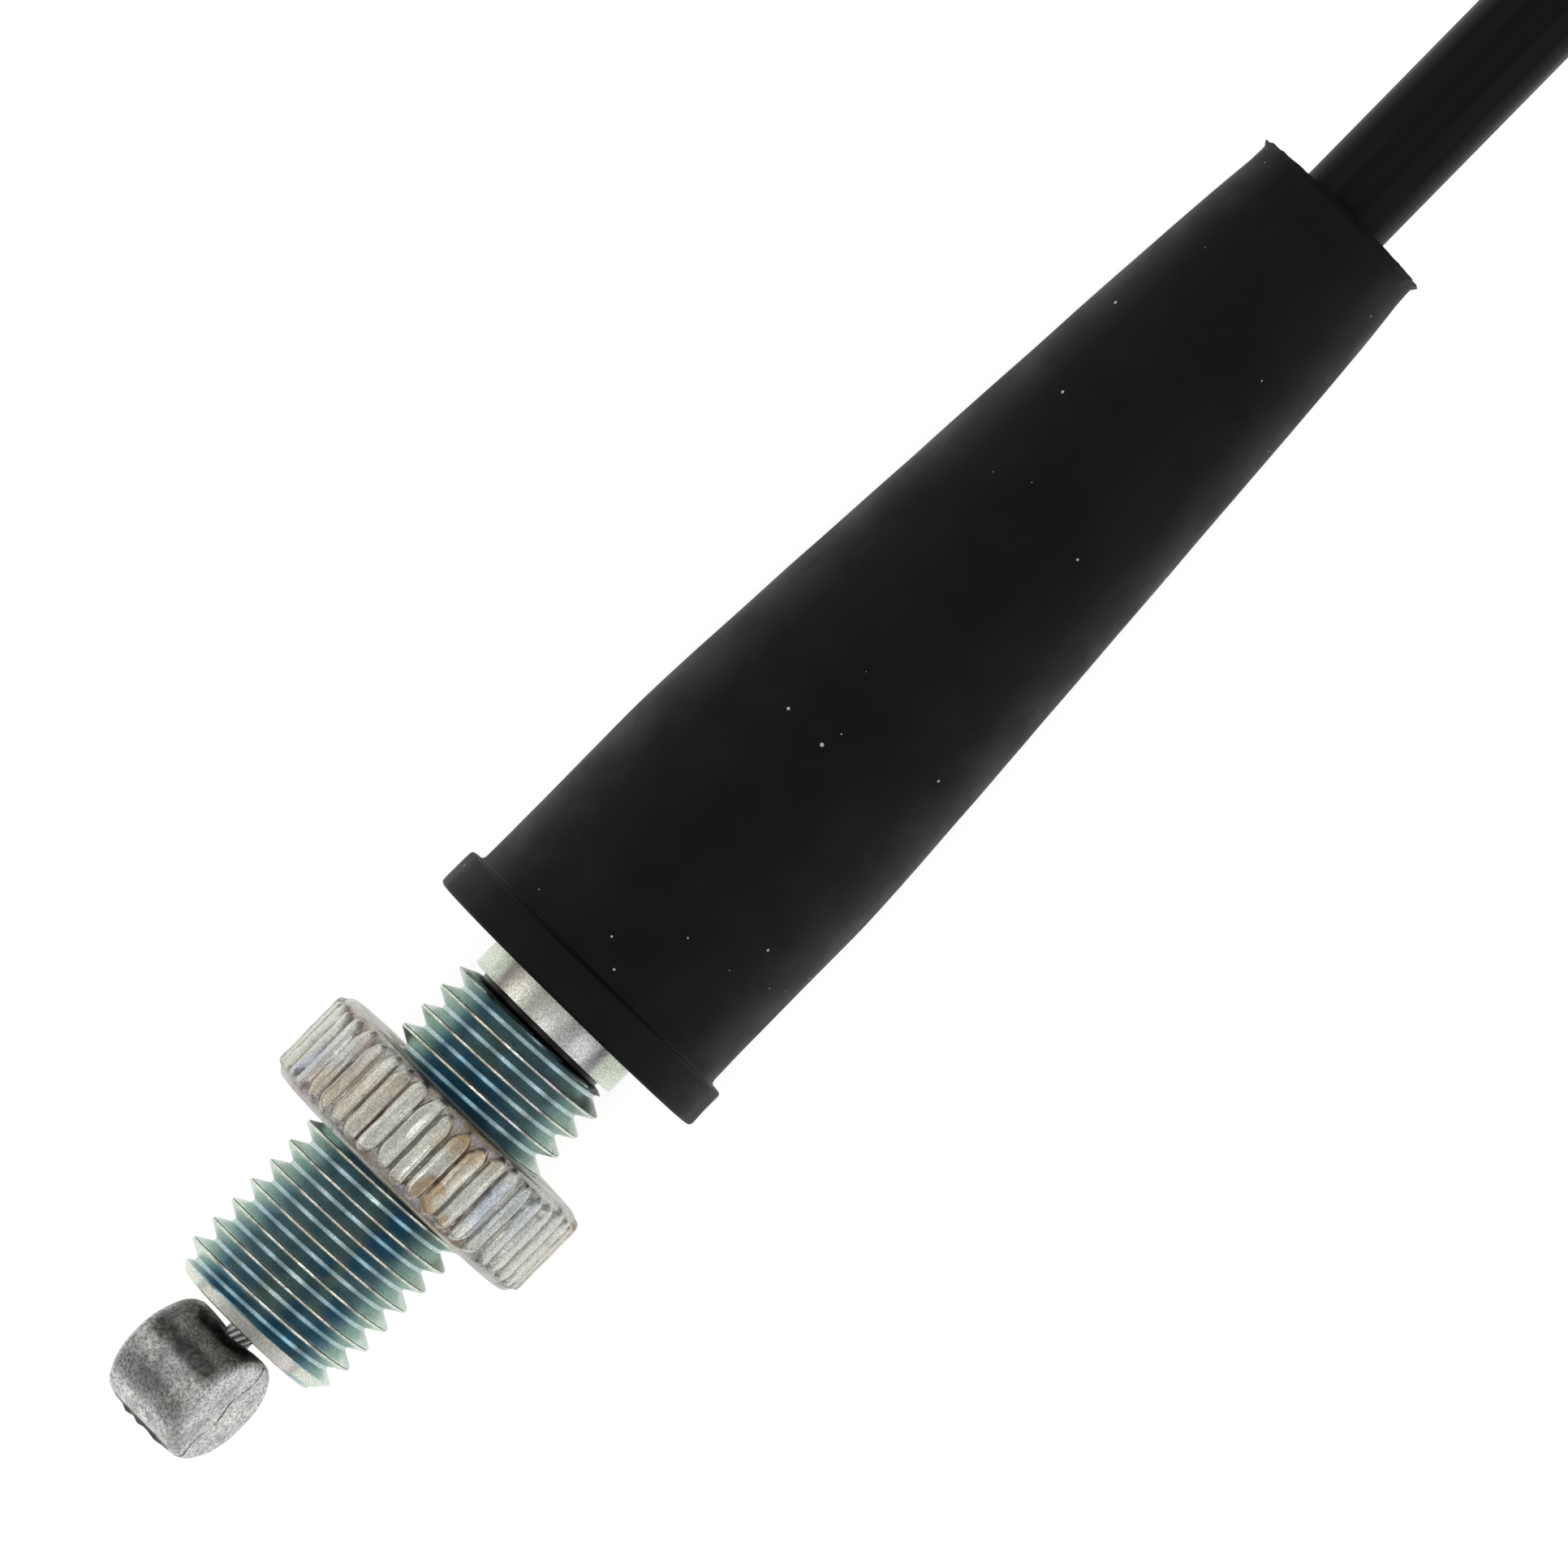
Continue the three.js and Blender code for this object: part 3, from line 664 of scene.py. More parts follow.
place(casing, "casing", JACKET, "jacket_plastic",
      "near_jacket", "casing_run", "casing_coil", "casing_return", "far_jacket")
print("materials:", len(bpy.data.materials))

# %% [markdown]
# ## The adjuster's thread
#
# A bump map can't give a thread its saw-tooth outline, so the thread is real geometry. A plain turned
# grid would cut across the helix and leave stairs on every crest. Here each column of points is moved
# along the axis by its share of one pitch instead, so the rows of the grid run along the helix, and
# crest, flank and root each keep their own row. Rows that would pass an end are stopped at it, and
# merging by distance tidies them away. A rolled thread has a faint fold along each crest.

# %% Thread
PITCH = 25.4 / 24
CREST_R, ROOT_R = 3.97, 3.32
CREST_HALF, ROOT_HALF = PITCH / 16, 0.441
THREAD_PHASE = 0.132
THREAD_END = 16.2
THREAD_COLUMNS = 192
RELIEF_R = 3.05
HALF_ROWS = np.array([0, 0.022, 0.044, 0.066, 0.085, 0.16, 0.25, 0.34, 0.41, 0.445, 0.475, 0.505])
TOOTH_ROWS = np.concatenate([HALF_ROWS / PITCH, [0.5], 1 - HALF_ROWS[:0:-1] / PITCH])
FOLD_AT, FOLD_HALF = 0.044, 0.022


def from_crest(x, angle):
    """How far along the axis a point lies from the nearest crest, in mm, negative in front of it."""
    turns = (x - THREAD_PHASE) / PITCH - angle / TURN
    return ((turns + 0.5) % 1 - 0.5) * PITCH


def fold(away):
    """1 in the middle of the fold that rolling leaves beside each crest, 0 outside it."""
    return np.clip(1 - np.abs(away - FOLD_AT) / FOLD_HALF, 0, 1)


def tooth_radius(x, angle):
    """The thread's radius in mm at a station and an angle: folded crest, straight flank, round root."""
    away = from_crest(x, angle)
    off = np.abs(away)
    flank = CREST_R - (CREST_R - ROOT_R) * (off - CREST_HALF) / (ROOT_HALF - CREST_HALF)
    return np.clip(flank, ROOT_R, CREST_R) - 0.05 * fold(away)


def helical_rings(start, end, radius_of, columns, rows):
    """Rings of a helical grid from one station to another, as (rings, columns + 1, 2): station, radius."""
    laps = math.ceil((end - start) / PITCH) + 3
    first = THREAD_PHASE + (math.floor((start - THREAD_PHASE) / PITCH) - 1) * PITCH
    lines = (first + (np.arange(laps)[:, None] + rows[None, :]) * PITCH).reshape(-1, 1)
    share = np.arange(columns + 1)[None, :] / columns
    x = np.clip(lines + PITCH * share, start, end)
    return np.stack([x, radius_of(x, TURN * share)], -1)


def helical_part(rings):
    """Vertices and faces of a helical grid; its last column meets the first one a turn further on."""
    count, columns = rings.shape[0], rings.shape[1]
    spots = around_axis(NOSE_X + rings[..., 0] * MM, rings[..., 1] * MM,
                        np.arange(columns)[None, :] * TURN / (columns - 1))
    row, column = np.meshgrid(np.arange(count - 1), np.arange(columns - 1), indexing="ij")
    corner = (row * columns + column).ravel()
    return spots, np.stack([corner, corner + 1, corner + columns + 1, corner + columns], 1)


def end_ring(station_mm, radius_of, columns):
    angle = angles(columns)
    return around_axis(NOSE_X + station_mm * MM, radius_of(np.full(columns, station_mm), angle) * MM, angle)


def plain_rings(profile, columns):
    profile = np.asarray(profile, float)
    return around_axis(NOSE_X + profile[:, :1] * MM, profile[:, 1:] * MM, angles(columns)[None, :])


SHANK_R, SHANK_START, SHANK_END = 3.625, 16.55, 33.0
SOCKET_R, SOCKET_START, WIRE_HOLE_R = 2.75, 19.5, 1.3
FLATS_START, FLATS_END, FLAT_HEIGHT = 21.5, 26.0, 3.25
THREAD_START = 0.05


def nose_cone(x):
    return 3.30 + (x - THREAD_START) * 0.82


def adjuster_radius(x, angle):
    """The thread, brought down to a cone at the nose and to its root where it runs out."""
    nose = nose_cone(x)
    run_out = CREST_R - 2.2 * np.clip(x - (THREAD_END - 0.22), 0, None)
    wander = 0.020 * np.sin(23 * angle + 5.1 * x) * np.sin(9 * angle - 7 * x)
    tooth = tooth_radius(x, angle)
    worn = np.where(tooth > CREST_R - 0.1, tooth + wander, tooth)
    return np.maximum(np.minimum(np.minimum(worn, nose), run_out), RELIEF_R)


def adjuster():
    thread = helical_part(
        helical_rings(THREAD_START, THREAD_END + 0.1, adjuster_radius, THREAD_COLUMNS, TOOTH_ROWS))
    nose = np.concatenate([
        plain_rings([[1.2, WIRE_HOLE_R], [0.25, WIRE_HOLE_R], [0.0, WIRE_HOLE_R + 0.2],
                     [0.0, 2.4], [0.0, 3.16]], THREAD_COLUMNS),
        end_ring(THREAD_START, adjuster_radius, THREAD_COLUMNS)[None]])
    behind = rounded([
        [THREAD_END + 0.14, RELIEF_R], [SHANK_START, RELIEF_R], [SHANK_START, SHANK_R],
        [SHANK_END, SHANK_R], [SHANK_END, SOCKET_R], [SOCKET_START, SOCKET_R],
        [SOCKET_START, WIRE_HOLE_R], [1.2, WIRE_HOLE_R]], [0, 0.05, 0.04, 0.25, 0.2, 0.3, 0.1, 0])
    behind = refine(behind, 0.6)[:-1]
    behind = behind[:len(behind) - np.argmax(behind[::-1, 0] > 1.3)]
    shank = plain_rings(np.concatenate([behind, [[1.2, WIRE_HOLE_R]]]), THREAD_COLUMNS)
    along = (shank[..., 0] - NOSE_X) / MM
    up = (shank[..., 2] - AXIS_Z) / MM
    radius = np.hypot(shank[..., 1], shank[..., 2] - AXIS_Z) / MM
    flat = (along > FLATS_START) & (along < FLATS_END) & (radius > SHANK_R - 0.05)
    shank[..., 2] = np.where(
        flat, AXIS_Z + np.clip(up, -FLAT_HEIGHT, FLAT_HEIGHT) * MM, shank[..., 2])
    start = end_ring(THREAD_END + 0.1, adjuster_radius, THREAD_COLUMNS)[None]
    shank = np.concatenate([start, shank])
    return mesh_of("adjuster", [
        thread,
        (nose, ring_faces(len(nose), THREAD_COLUMNS, False)),
        (shank, ring_faces(len(shank), THREAD_COLUMNS, False)),
    ], sharp=math.radians(28))


def thread_depth(x, radius, angle):
    """0 on a crest and on plain metal, past 1 in a root, and very deep in the relief groove and the crest's
    fold, which paints shade there near black.
    """
    away = from_crest(x, angle)
    depth = np.clip((np.abs(away) - CREST_HALF) / (ROOT_HALF - CREST_HALF), 0, None)
    on_cone = tooth_radius(x, angle) > nose_cone(x) + 0.01
    depth = np.where(on_cone | (x > SHANK_START - 0.02) | (x < THREAD_START), 0, depth)
    relief = (x > THREAD_END - 0.14) & (x < SHANK_START + 0.02) & (radius < ROOT_R + 0.2)
    # Painted shade: the relief groove and the fold beside each crest are set deep enough to turn near
    # black.
    return np.where(relief | (fold(away) * (x < THREAD_END) > 0.5) & ~on_cone, PAINTED_SHADE, depth)


adjuster_piece = add_object("adjuster", adjuster())
set_depth(adjuster_piece, thread_depth)
place(adjuster_piece, "adjuster", THREAD_FINISH, "zinc_plate", "adjuster_screw")
print("adjuster faces:", len(adjuster_piece.data.polygons))

# %% [markdown]
# ## The knurled lock nut
#
# The grip of this nut is pressed in, not cut: the wheel raises rounded ribs that end short of the
# nut's faces in blunt points, and no two are quite the same. So the rim is a round-edged drum, and each
# rib is a swelling on it with its own width, height and ends, drawn once from a seeded random row. The
# bore carries the same helix as the adjuster, a little larger.

# %% Lock nut
NUT_START, NUT_END = 8.1, 12.2
NUT_RIBS, RIB_COLUMNS = 46, 16
NUT_COLUMNS = NUT_RIBS * RIB_COLUMNS
NUT_DRUM_R, RIB_HEIGHT, RIB_TOP_R = 6.27, 0.24, 6.49
NUT_EDGE, COUNTERSINK_R, NUT_BORE_R = 0.42, 4.25, 3.45
CLEARANCE = 0.11

draw = np.random.RandomState(11)
RIB_WIDTH = 0.90 + 0.16 * draw.rand(NUT_RIBS)
RIB_RISE = 0.78 + 0.22 * draw.rand(NUT_RIBS)
RIB_ENDS = np.stack([0.24 + 0.10 * draw.rand(NUT_RIBS), 0.08 + 0.30 * draw.rand(NUT_RIBS)])
RIB_LEAN = 0.30 * (draw.rand(NUT_RIBS) - 0.5)
RIB_TIP, RIB_RIDGE = 0.8 * (draw.rand(2, NUT_RIBS) - 0.5)


def rim_radius(x, angle, ragged):
    """The rim's radius in mm: a drum with round edges and flat-topped ribs; `ragged` is noise."""
    from_face = np.minimum(x - NUT_START, NUT_END - x)
    corner = np.clip(1 - from_face / NUT_EDGE, 0, 1)
    drum = NUT_DRUM_R - NUT_EDGE * (1 - np.sqrt(1 - corner ** 2))
    along = angle / TURN * NUT_RIBS
    rib = np.floor(along).astype(int) % NUT_RIBS
    middle = (x - (NUT_START + NUT_END) / 2) / (NUT_END - NUT_START)
    across = 2 * ((along % 1) - 0.5) + RIB_LEAN[rib] * middle + 0.10 * ragged
    ends = np.where(middle < 0, RIB_ENDS[0][rib], RIB_ENDS[1][rib]) + 0.12 * ragged
    point = np.where(middle < 0, 0.34, 0.60)
    tip = np.clip((from_face - ends - point * (across - RIB_TIP[rib]) ** 2) / 0.16, 0, 1)
    side = np.clip((RIB_WIDTH[rib] - np.abs(across)) / 0.30, 0, 1)
    rise = np.minimum(side, tip * (2 - tip))
    facet = 1 - 0.22 * np.abs(across - RIB_RIDGE[rib])
    return drum + RIB_HEIGHT * RIB_RISE[rib] * rise * facet


def bore_radius(x, angle):
    """The adjuster's thread with some play, opened out to a countersink at each face."""
    from_face = np.minimum(x - NUT_START, NUT_END - x)
    threaded = np.maximum(tooth_radius(x, angle) + CLEARANCE, NUT_BORE_R)
    return np.maximum(threaded, COUNTERSINK_R - from_face)


def lock_nut():
    rows = NUT_START + (NUT_END - NUT_START) * (1 - np.cos(np.linspace(0, math.pi, 49))) / 2
    angle = angles(NUT_COLUMNS)[None, :]
    spots = around_axis(NOSE_X + rows[:, None] * MM, NUT_DRUM_R * MM, angle)
    rim = rim_radius(rows[:, None], angle, smooth_noise(spots, 0.0007, seed=2))
    rim = rim + 0.02 * smooth_noise(spots, 0.0004, seed=4) * (rows[:, None] > NUT_START) * (
        rows[:, None] < NUT_END)
    spots = around_axis(NOSE_X + rows[:, None] * MM, rim * MM, angle)
    front = plain_rings([[NUT_START, 5.4], [NUT_START, 4.7]], NUT_COLUMNS)
    back = plain_rings([[NUT_END, 4.7], [NUT_END, 5.4]], NUT_COLUMNS)
    thread = helical_part(helical_rings(NUT_START, NUT_END, bore_radius, NUT_COLUMNS, TOOTH_ROWS[::2]))
    front = np.concatenate([spots[:1], front, end_ring(NUT_START, bore_radius, NUT_COLUMNS)[None]])
    back = np.concatenate([end_ring(NUT_END, bore_radius, NUT_COLUMNS)[None], back, spots[-1:]])
    return mesh_of("lock_nut", [
        (spots, ring_faces(len(spots), NUT_COLUMNS, False)), thread,
        (front, ring_faces(len(front), NUT_COLUMNS, False)),
        (back, ring_faces(len(back), NUT_COLUMNS, False)),
    ], sharp=math.radians(50))


def nut_depth(x, radius, angle):
    """0 on the ribs, 1 between them, where dirt settles, and more at a rib's end: packed dirt, and painted
    shadow near black.
    """
    from_face = np.minimum(x - NUT_START, NUT_END - x)
    between = np.clip((RIB_TOP_R - 0.03 - radius) / (RIB_HEIGHT - 0.06), 0, 1)
    shoulder = np.clip((0.42 - from_face) / 0.2, 0, 1)
    rib = np.floor(angle / TURN * NUT_RIBS).astype(int) % NUT_RIBS
    end = np.where(x < (NUT_START + NUT_END) / 2, RIB_ENDS[0][rib], RIB_ENDS[1][rib])
    spots = np.stack([x, radius * np.cos(angle), radius * np.sin(angle)], -1) * MM
    patchy = np.clip(0.6 + 1.3 * smooth_noise(spots, 0.0008, 31), 0, 1)
    # Near black at each rib's end: packed dirt, and painted shadow of the rib's end.
    soot_and_shadow = 1.75 * patchy * np.exp(-((from_face - end - 0.02) / 0.09) ** 2)
    return np.where(radius > 5, np.maximum(between * (1 - 0.5 * shoulder), soot_and_shadow), 0.3)


nut_piece = add_object("knurled_nut", lock_nut())
set_depth(nut_piece, nut_depth)
place(nut_piece, "nut", NUT_FINISH, "zinc_plate", "lock_nut")
print("nut faces:", len(nut_piece.data.polygons))

# %% [markdown]
# ## The rubber boot
#
# The boot is one moulding, so it is one turned skin with an inside: a square flange, a short barrel and
# a long taper down to the casing. Moulded rubber isn't lathe-true. Low waves of a few hundredths of a
# millimetre bend its outline, and its tail was trimmed by hand, which left a thin ragged lip.

# %% Boot
BOOT_START, FLANGE_R, FLANGE_WIDTH = 17.8, 6.8, 1.75
BOOT_R, BOOT_WALL = 6.25, 1.25
BARREL_END = 28.5
BOOT_SIDES = 144
OUTLINE = [[BOOT_START + FLANGE_WIDTH, BOOT_R], [BARREL_END, BOOT_R], [33, 5.98], [36.2, 5.79],
           [39.4, 5.57], [42.5, 5.36], [45.7, 5.15], [48.9, 4.935], [52, 4.73], [55.2, 4.485],
           [58.4, 4.22], [60.0, 4.05]]
CAVITY = [[55.0, 3.2], [42.5, 4.1], [33, 4.7], [BARREL_END, BOOT_R - BOOT_WALL],
          [21.0, BOOT_R - BOOT_WALL]]


def boot():
    tail = [[60.78, 4.02], [61.0, 4.16], [61.0, 3.98], [60.95, 2.45], [60.8, 2.25], [56.5, 2.25]]
    lip = [[20.2, 3.76], [BOOT_START, 3.76], [BOOT_START, FLANGE_R],
           [BOOT_START + FLANGE_WIDTH, FLANGE_R]]
    corners = OUTLINE + tail + CAVITY + lip
    radii = ([0.25, 1.5] + [0.8] * (len(OUTLINE) - 3) + [0.2] + [0.08, 0, 0, 0.1, 0.1, 0.5]
             + [0.8] * len(CAVITY) + [0.3, 0.2, 0.22, 0.16])
    profile = refine(rounded(corners, radii, 4), 0.35)
    x, radius = profile[:, :1], profile[:, 1:]
    angle = angles(BOOT_SIDES)[None, :]
    spots = around_axis(NOSE_X + x * MM, radius * MM, angle)
    outer = np.clip((radius - 3.0) / 1.0, 0, 1) * np.clip((x - 18.2) / 3, 0, 1)
    waves = smooth_noise(spots, 0.009, seed=1) * 0.035 + smooth_noise(spots, 0.0022, seed=3) * 0.010
    ragged = np.clip((x - 60.5) / 0.5, 0, 1) * np.clip((radius - 3.6) / 0.3, 0, 1)
    torn = smooth_noise(spots, 0.0006, seed=5)
    flange = np.clip((radius - 6.5) / 0.2, 0, 1)
    nicks = np.minimum(smooth_noise(spots, 0.0016, seed=8), 0) * 0.05 * flange
    radius = radius - 0.04 * outer + waves * outer + 0.07 * ragged * torn + nicks
    spots = around_axis(NOSE_X + (x - 0.10 * ragged * np.abs(torn)) * MM, radius * MM, angle)
    return ring_mesh("boot", spots, sharp=math.radians(45))


boot_piece = add_object("moulded_boot", boot())
place(boot_piece, "boot", RUBBER, "rubber", "rubber_boot")
print("boot faces:", len(boot_piece.data.polygons))

# %% [markdown]
# ## The cast nipples
#
# A barrel nipple is die-cast round the frayed end of the wire, so it has generous rims, a matte pitted
# skin, a parting line across its ends where the two halves of the die met, and a broken-off gate. A
# barrel on its side is a turned shape about its own axis, here with a pole at each end, pushed in and
# out by noise of two sizes.

# %% Nipples
NIPPLE_R, NIPPLE_LENGTH, NIPPLE_RIM = 2.52, 4.2, 0.42
NIPPLE_SIDES = 160
SEAM_HEIGHT, SEAM_HALF = 0.035, 0.05
GATE_HALF_LENGTH, GATE_HALF, GATE_HEIGHT = 1.6, 0.30, 0.12
MOUTH_DEPTH, MOUTH_LENGTH, MOUTH_WIDTH = 0.22, 0.75, 0.7


def seam_path(x):
    """The height in mm at which the parting line wanders across a nipple."""
    return 0.15 * np.sin(3 * x)


def barrel(centre, tilt, offset, seed):
    """A nipple whose barrel lies across the cable, its -Y end turned up by `tilt`."""
    half = NIPPLE_LENGTH / 2
    profile = rounded([[-half, 0], [-half, NIPPLE_R], [half, NIPPLE_R], [half, 0]],
                      [0, NIPPLE_RIM, NIPPLE_RIM, 0], 10)
    profile = refine(profile, 0.09)[:-1]
    last = int(np.argmax((profile[:, 0] > half - 1e-6) & (profile[:, 1] < 0.1))) + 1
    profile = np.concatenate([profile[:last], [[half, 0]]])
    along, radius = profile[:, :1], profile[:, 1:]
    angle = angles(NIPPLE_SIDES)[None, :]
    spots = np.stack(np.broadcast_arrays(radius * np.sin(angle), along, radius * np.cos(angle)), -1)
    lump = (smooth_noise(spots * MM, 0.0013, seed) * 0.016
            + smooth_noise(spots * MM, 0.0004, seed + 3) * 0.010)
    end = np.clip((np.abs(along) - half + 0.25) / 0.2, 0, 1)
    parting = np.exp(-((spots[..., 2] - seam_path(spots[..., 0])) / SEAM_HALF) ** 2)
    seam = SEAM_HEIGHT * parting * np.where(np.abs(along) > half - 0.3, 1.0, 0.6)
    gate = np.exp(-((spots[..., 1] / GATE_HALF_LENGTH) ** 4 + (spots[..., 2] / GATE_HALF) ** 4))
    broken = GATE_HEIGHT + GATE_HEIGHT * smooth_noise(spots * MM, 0.00045, seed + 6)
    rough_gate = gate * (spots[..., 0] < 0) * broken
    mouth = np.exp(-((spots[..., 1] + offset) / MOUTH_LENGTH) ** 2
                   - (spots[..., 2] / MOUTH_WIDTH) ** 2)
    mouth = MOUTH_DEPTH * mouth * (spots[..., 0] > 0)
    shrink = np.clip(radius / NIPPLE_R, 0, 1)
    outward = (NIPPLE_R - 0.02 + lump + seam * (1 - end) + rough_gate - mouth) / NIPPLE_R
    spots[..., 0] *= 1 + (outward - 1) * shrink
    spots[..., 2] *= 1 + (outward - 1) * shrink
    spots[..., 1] += np.sign(along) * end * (-0.02 + lump + seam)
    spots[..., 1] += offset
    turn = np.array(Matrix.Rotation(-tilt, 3, "X"))
    return spots @ turn.T * MM + np.array(centre)


def grime_shadow_and_highlight_on(barrel_spots, centre, tilt, offset):
    """How dark each point of a barrel is, from -1 for a painted highlight to 1.2 in a crack.

    Soot lies in a band along the top, on the broken gate and in the parting line across each end, and
    a painted shadow darkens the wire's mouth. A painted highlight runs along the edge away from the wire."""
    turn = np.array(Matrix.Rotation(tilt, 3, "X"))
    spots = (barrel_spots - np.array(centre)) @ turn.T / MM
    x, y, z = spots[..., 0], spots[..., 1] - offset, spots[..., 2]
    broken = smooth_noise(spots * MM, 0.0007, 21)
    inside = NIPPLE_LENGTH / 2 - np.abs(y)
    on_side = np.clip((inside - 0.12) / 0.4, 0, 1)
    band = np.exp(-((x - 0.86 + 0.10 * broken) / 0.46) ** 4)
    # Painted shadow by the wire's mouth, added into the soot.
    mouth = np.clip((x - 1.9) / 0.2, 0, 1) * np.clip((1.5 - np.abs(y) + broken) / 0.4, 0, 1)
    soot_and_shadow = on_side * np.clip(0.42 + 0.56 * band + 0.9 * mouth, 0, 1)
    # Painted highlight along the edge on the side away from the wire.
    painted_edge_highlight = np.exp(-((x + 2.08) / 0.26) ** 2) * np.clip(1.4 + 0.6 * broken, 0, 1) * (z > 0)
    gate = (x < -2.30) & (np.abs(z) < 0.55) & (inside > 0.5)
    line = np.exp(-((z - seam_path(x)) / 0.055) ** 2) * (inside < 0.35)
    crack = 1.2 * line * np.clip(0.75 + 1.6 * broken, 0, 1)
    return np.where(gate, 1.2, np.maximum(soot_and_shadow - 1.3 * painted_edge_highlight * on_side, crack))


def nipple(name, node, body, tilt, offset, seed):
    low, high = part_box(node)
    centre = ((low.x + high.x) / 2, WIRE_Y[node], WIRE_Z[node])
    made = add_object(name, ring_mesh(
        name, barrel(centre, tilt, offset, seed), closed=False, merge=1e-8, sharp=math.radians(60)))
    spots = np.array([v.co for v in made.data.vertices])
    set_depth(made, lambda *_: grime_shadow_and_highlight_on(spots, centre, tilt, offset))
    place(made, body, CAST_ZINC, "cast_zinc", node)
    print(name, "faces:", len(made.data.polygons))
    return made


far_low, far_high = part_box("far_wire")
FAR_Y, FAR_Z = (far_low.y + far_high.y) / 2, (far_low.z + far_high.z) / 2
WIRE_Y = {"near_nipple": 0.0, "far_nipple": FAR_Y}
WIRE_Z = {"near_nipple": AXIS_Z, "far_nipple": FAR_Z}
nipple("near_barrel_nipple", "near_nipple", "near_pull", math.radians(25), 0.25, 1)
far_nipple = nipple("far_barrel_nipple", "far_nipple", "far_pull", 0.0, 0.0, 12)

# %% [markdown]
# ## The stranded wire
#
# The wire is nineteen drawn strands: one straight, six twisted round it, and twelve round those. Only
# real strands catch the light the way a rope does, so each strand is a thin tube on its own helix.

# %% Wire
WIRE_LAY = 9.5
LAYERS = ((1, 0.0, 0.125, 1), (6, 0.25, 0.122, -1), (12, 0.488, 0.126, 1))


def strand_path(start, end, radius, phase, hand):
    steps = max(2, int((end - start) / 0.35))
    x = np.linspace(start, end, steps)
    angle = phase + hand * TURN * x / WIRE_LAY
    return np.stack([x, radius * np.cos(angle), radius * np.sin(angle)], 1)


def stranded(name, node, body, y, z, sides=10):
    """The wire between a node's two ends, as one piece of nineteen strands."""
    low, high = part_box(node)
    parts = []
    for count, radius, strand_r, hand in LAYERS:
        for k in range(count):
            path = strand_path(low.x / MM, high.x / MM, radius, TURN * k / count, hand)
            path = path * MM + np.array([0, y, z])
            rings = swept_rings(path, strand_r * MM, sides)
            caps = [np.repeat(r.mean(axis=0)[None, None], sides, axis=1) for r in (rings[0], rings[-1])]
            rings = np.concatenate([caps[0], rings, caps[1]])
            parts.append((rings, ring_faces(len(rings), sides, False)))
    made = add_object(name, mesh_of(name, parts, merge=1e-8, sharp=math.radians(60)))
    place(made, body, WIRE_FINISH, "steel_wire", node)
    print(name, "faces:", len(made.data.polygons))
    return made


stranded("near_stranded_wire", "near_wire", "near_pull", 0.0, AXIS_Z)
far_wire = stranded("far_stranded_wire", "far_wire", "far_pull", FAR_Y, FAR_Z)

# %% [markdown]
# ## Ferrules, conduit and liner
#
# Inside the boot and at the far end sit the pieces that make the casing work: a pressed cup on each
# end, a close-wound conduit of flat wire that takes the thrust, and a slippery liner. The conduit is a
# section swept along a helix, the rest are turned.

# %% Ferrules, conduit and liner
def moved(mesh, x, y, z):
    """Moves a mesh that was made on the near axis at the nose to another place."""
    mesh.transform(Matrix.Translation((x - NOSE_X, y, z - AXIS_Z)))
    return mesh


def ferrule(name, node, profile, radii, y, z, crimps):
    """A cup from a closed profile, its outside pressed in at each crimp (station, depth in mm)."""
    low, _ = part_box(node)
    profile = refine(rounded(profile, radii, 4), 0.3)
    x, radius = profile[:, :1], profile[:, 1:]
    outside = radius > 2.3
    for at, depth in crimps:
        radius = radius - outside * depth * np.exp(-((x - at) / 0.45) ** 2)
    mesh = ring_mesh(name, around_axis(NOSE_X + x * MM, radius * MM, angles(96)[None, :]),
                     sharp=math.radians(45))
    piece = add_object(name, moved(mesh, low.x, y, z))
    set_depth(piece, lambda x, radius, angle: 0.0)
    place(piece, "casing", FERRULE_FINISH, "zinc_plate", node)
    return piece


ferrule("near_cup_ferrule", "near_ferrule", [
    [0, 1.0], [0, 2.6], [13.5, 2.6], [13.5, 3.3], [14.8, 3.3], [14.8, 2.13], [0.8, 2.13], [0.8, 1.0]],
    [0.1, 0.3, 0.1, 0.15, 0.2, 0.15, 0.2, 0.1], 0.0, AXIS_Z, ())
far_ferrule = ferrule("far_cup_ferrule", "far_ferrule", [
    [0, 1.0], [0, 2.75], [12, 2.75], [12, 2.13], [0.8, 2.13], [0.8, 1.0]],
    [0.15, 0.4, 0.2, 0.15, 0.2, 0.1], FAR_Y, FAR_Z, ((5.0, 0.22), (9.0, 0.22)))

CONDUIT_PITCH, CONDUIT_OUT, CONDUIT_IN = 1.05, 1.43, 1.07


def conduit(name, node, y, z):
    """Close-wound flat wire from one end of the node to the other."""
    low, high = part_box(node)
    length = (high.x - low.x) / MM
    laps = (length - CONDUIT_PITCH) / CONDUIT_PITCH
    steps = int(laps * 24)
    angle = TURN * laps * np.linspace(0, 1, steps)[:, None]
    half, out, inside = 0.46, CONDUIT_OUT, CONDUIT_IN
    across = np.array([-half, -half + 0.1, half - 0.1, half, half, -half])
    radius = np.array([out - 0.06, out, out, out - 0.06, inside, inside])
    x = CONDUIT_PITCH / 2 + angle / TURN * CONDUIT_PITCH + across
    rings = around_axis(NOSE_X + x * MM, radius * MM + 0 * x, angle)
    ends = [np.repeat(r.mean(axis=0)[None, None], 6, axis=1) for r in (rings[0], rings[-1])]
    mesh = ring_mesh(name, np.concatenate([ends[0], rings, ends[1]]), closed=False)
    piece = add_object(name, moved(mesh, low.x, y, z))
    return place(piece, "casing", CONDUIT_FINISH, "steel_wire", node)


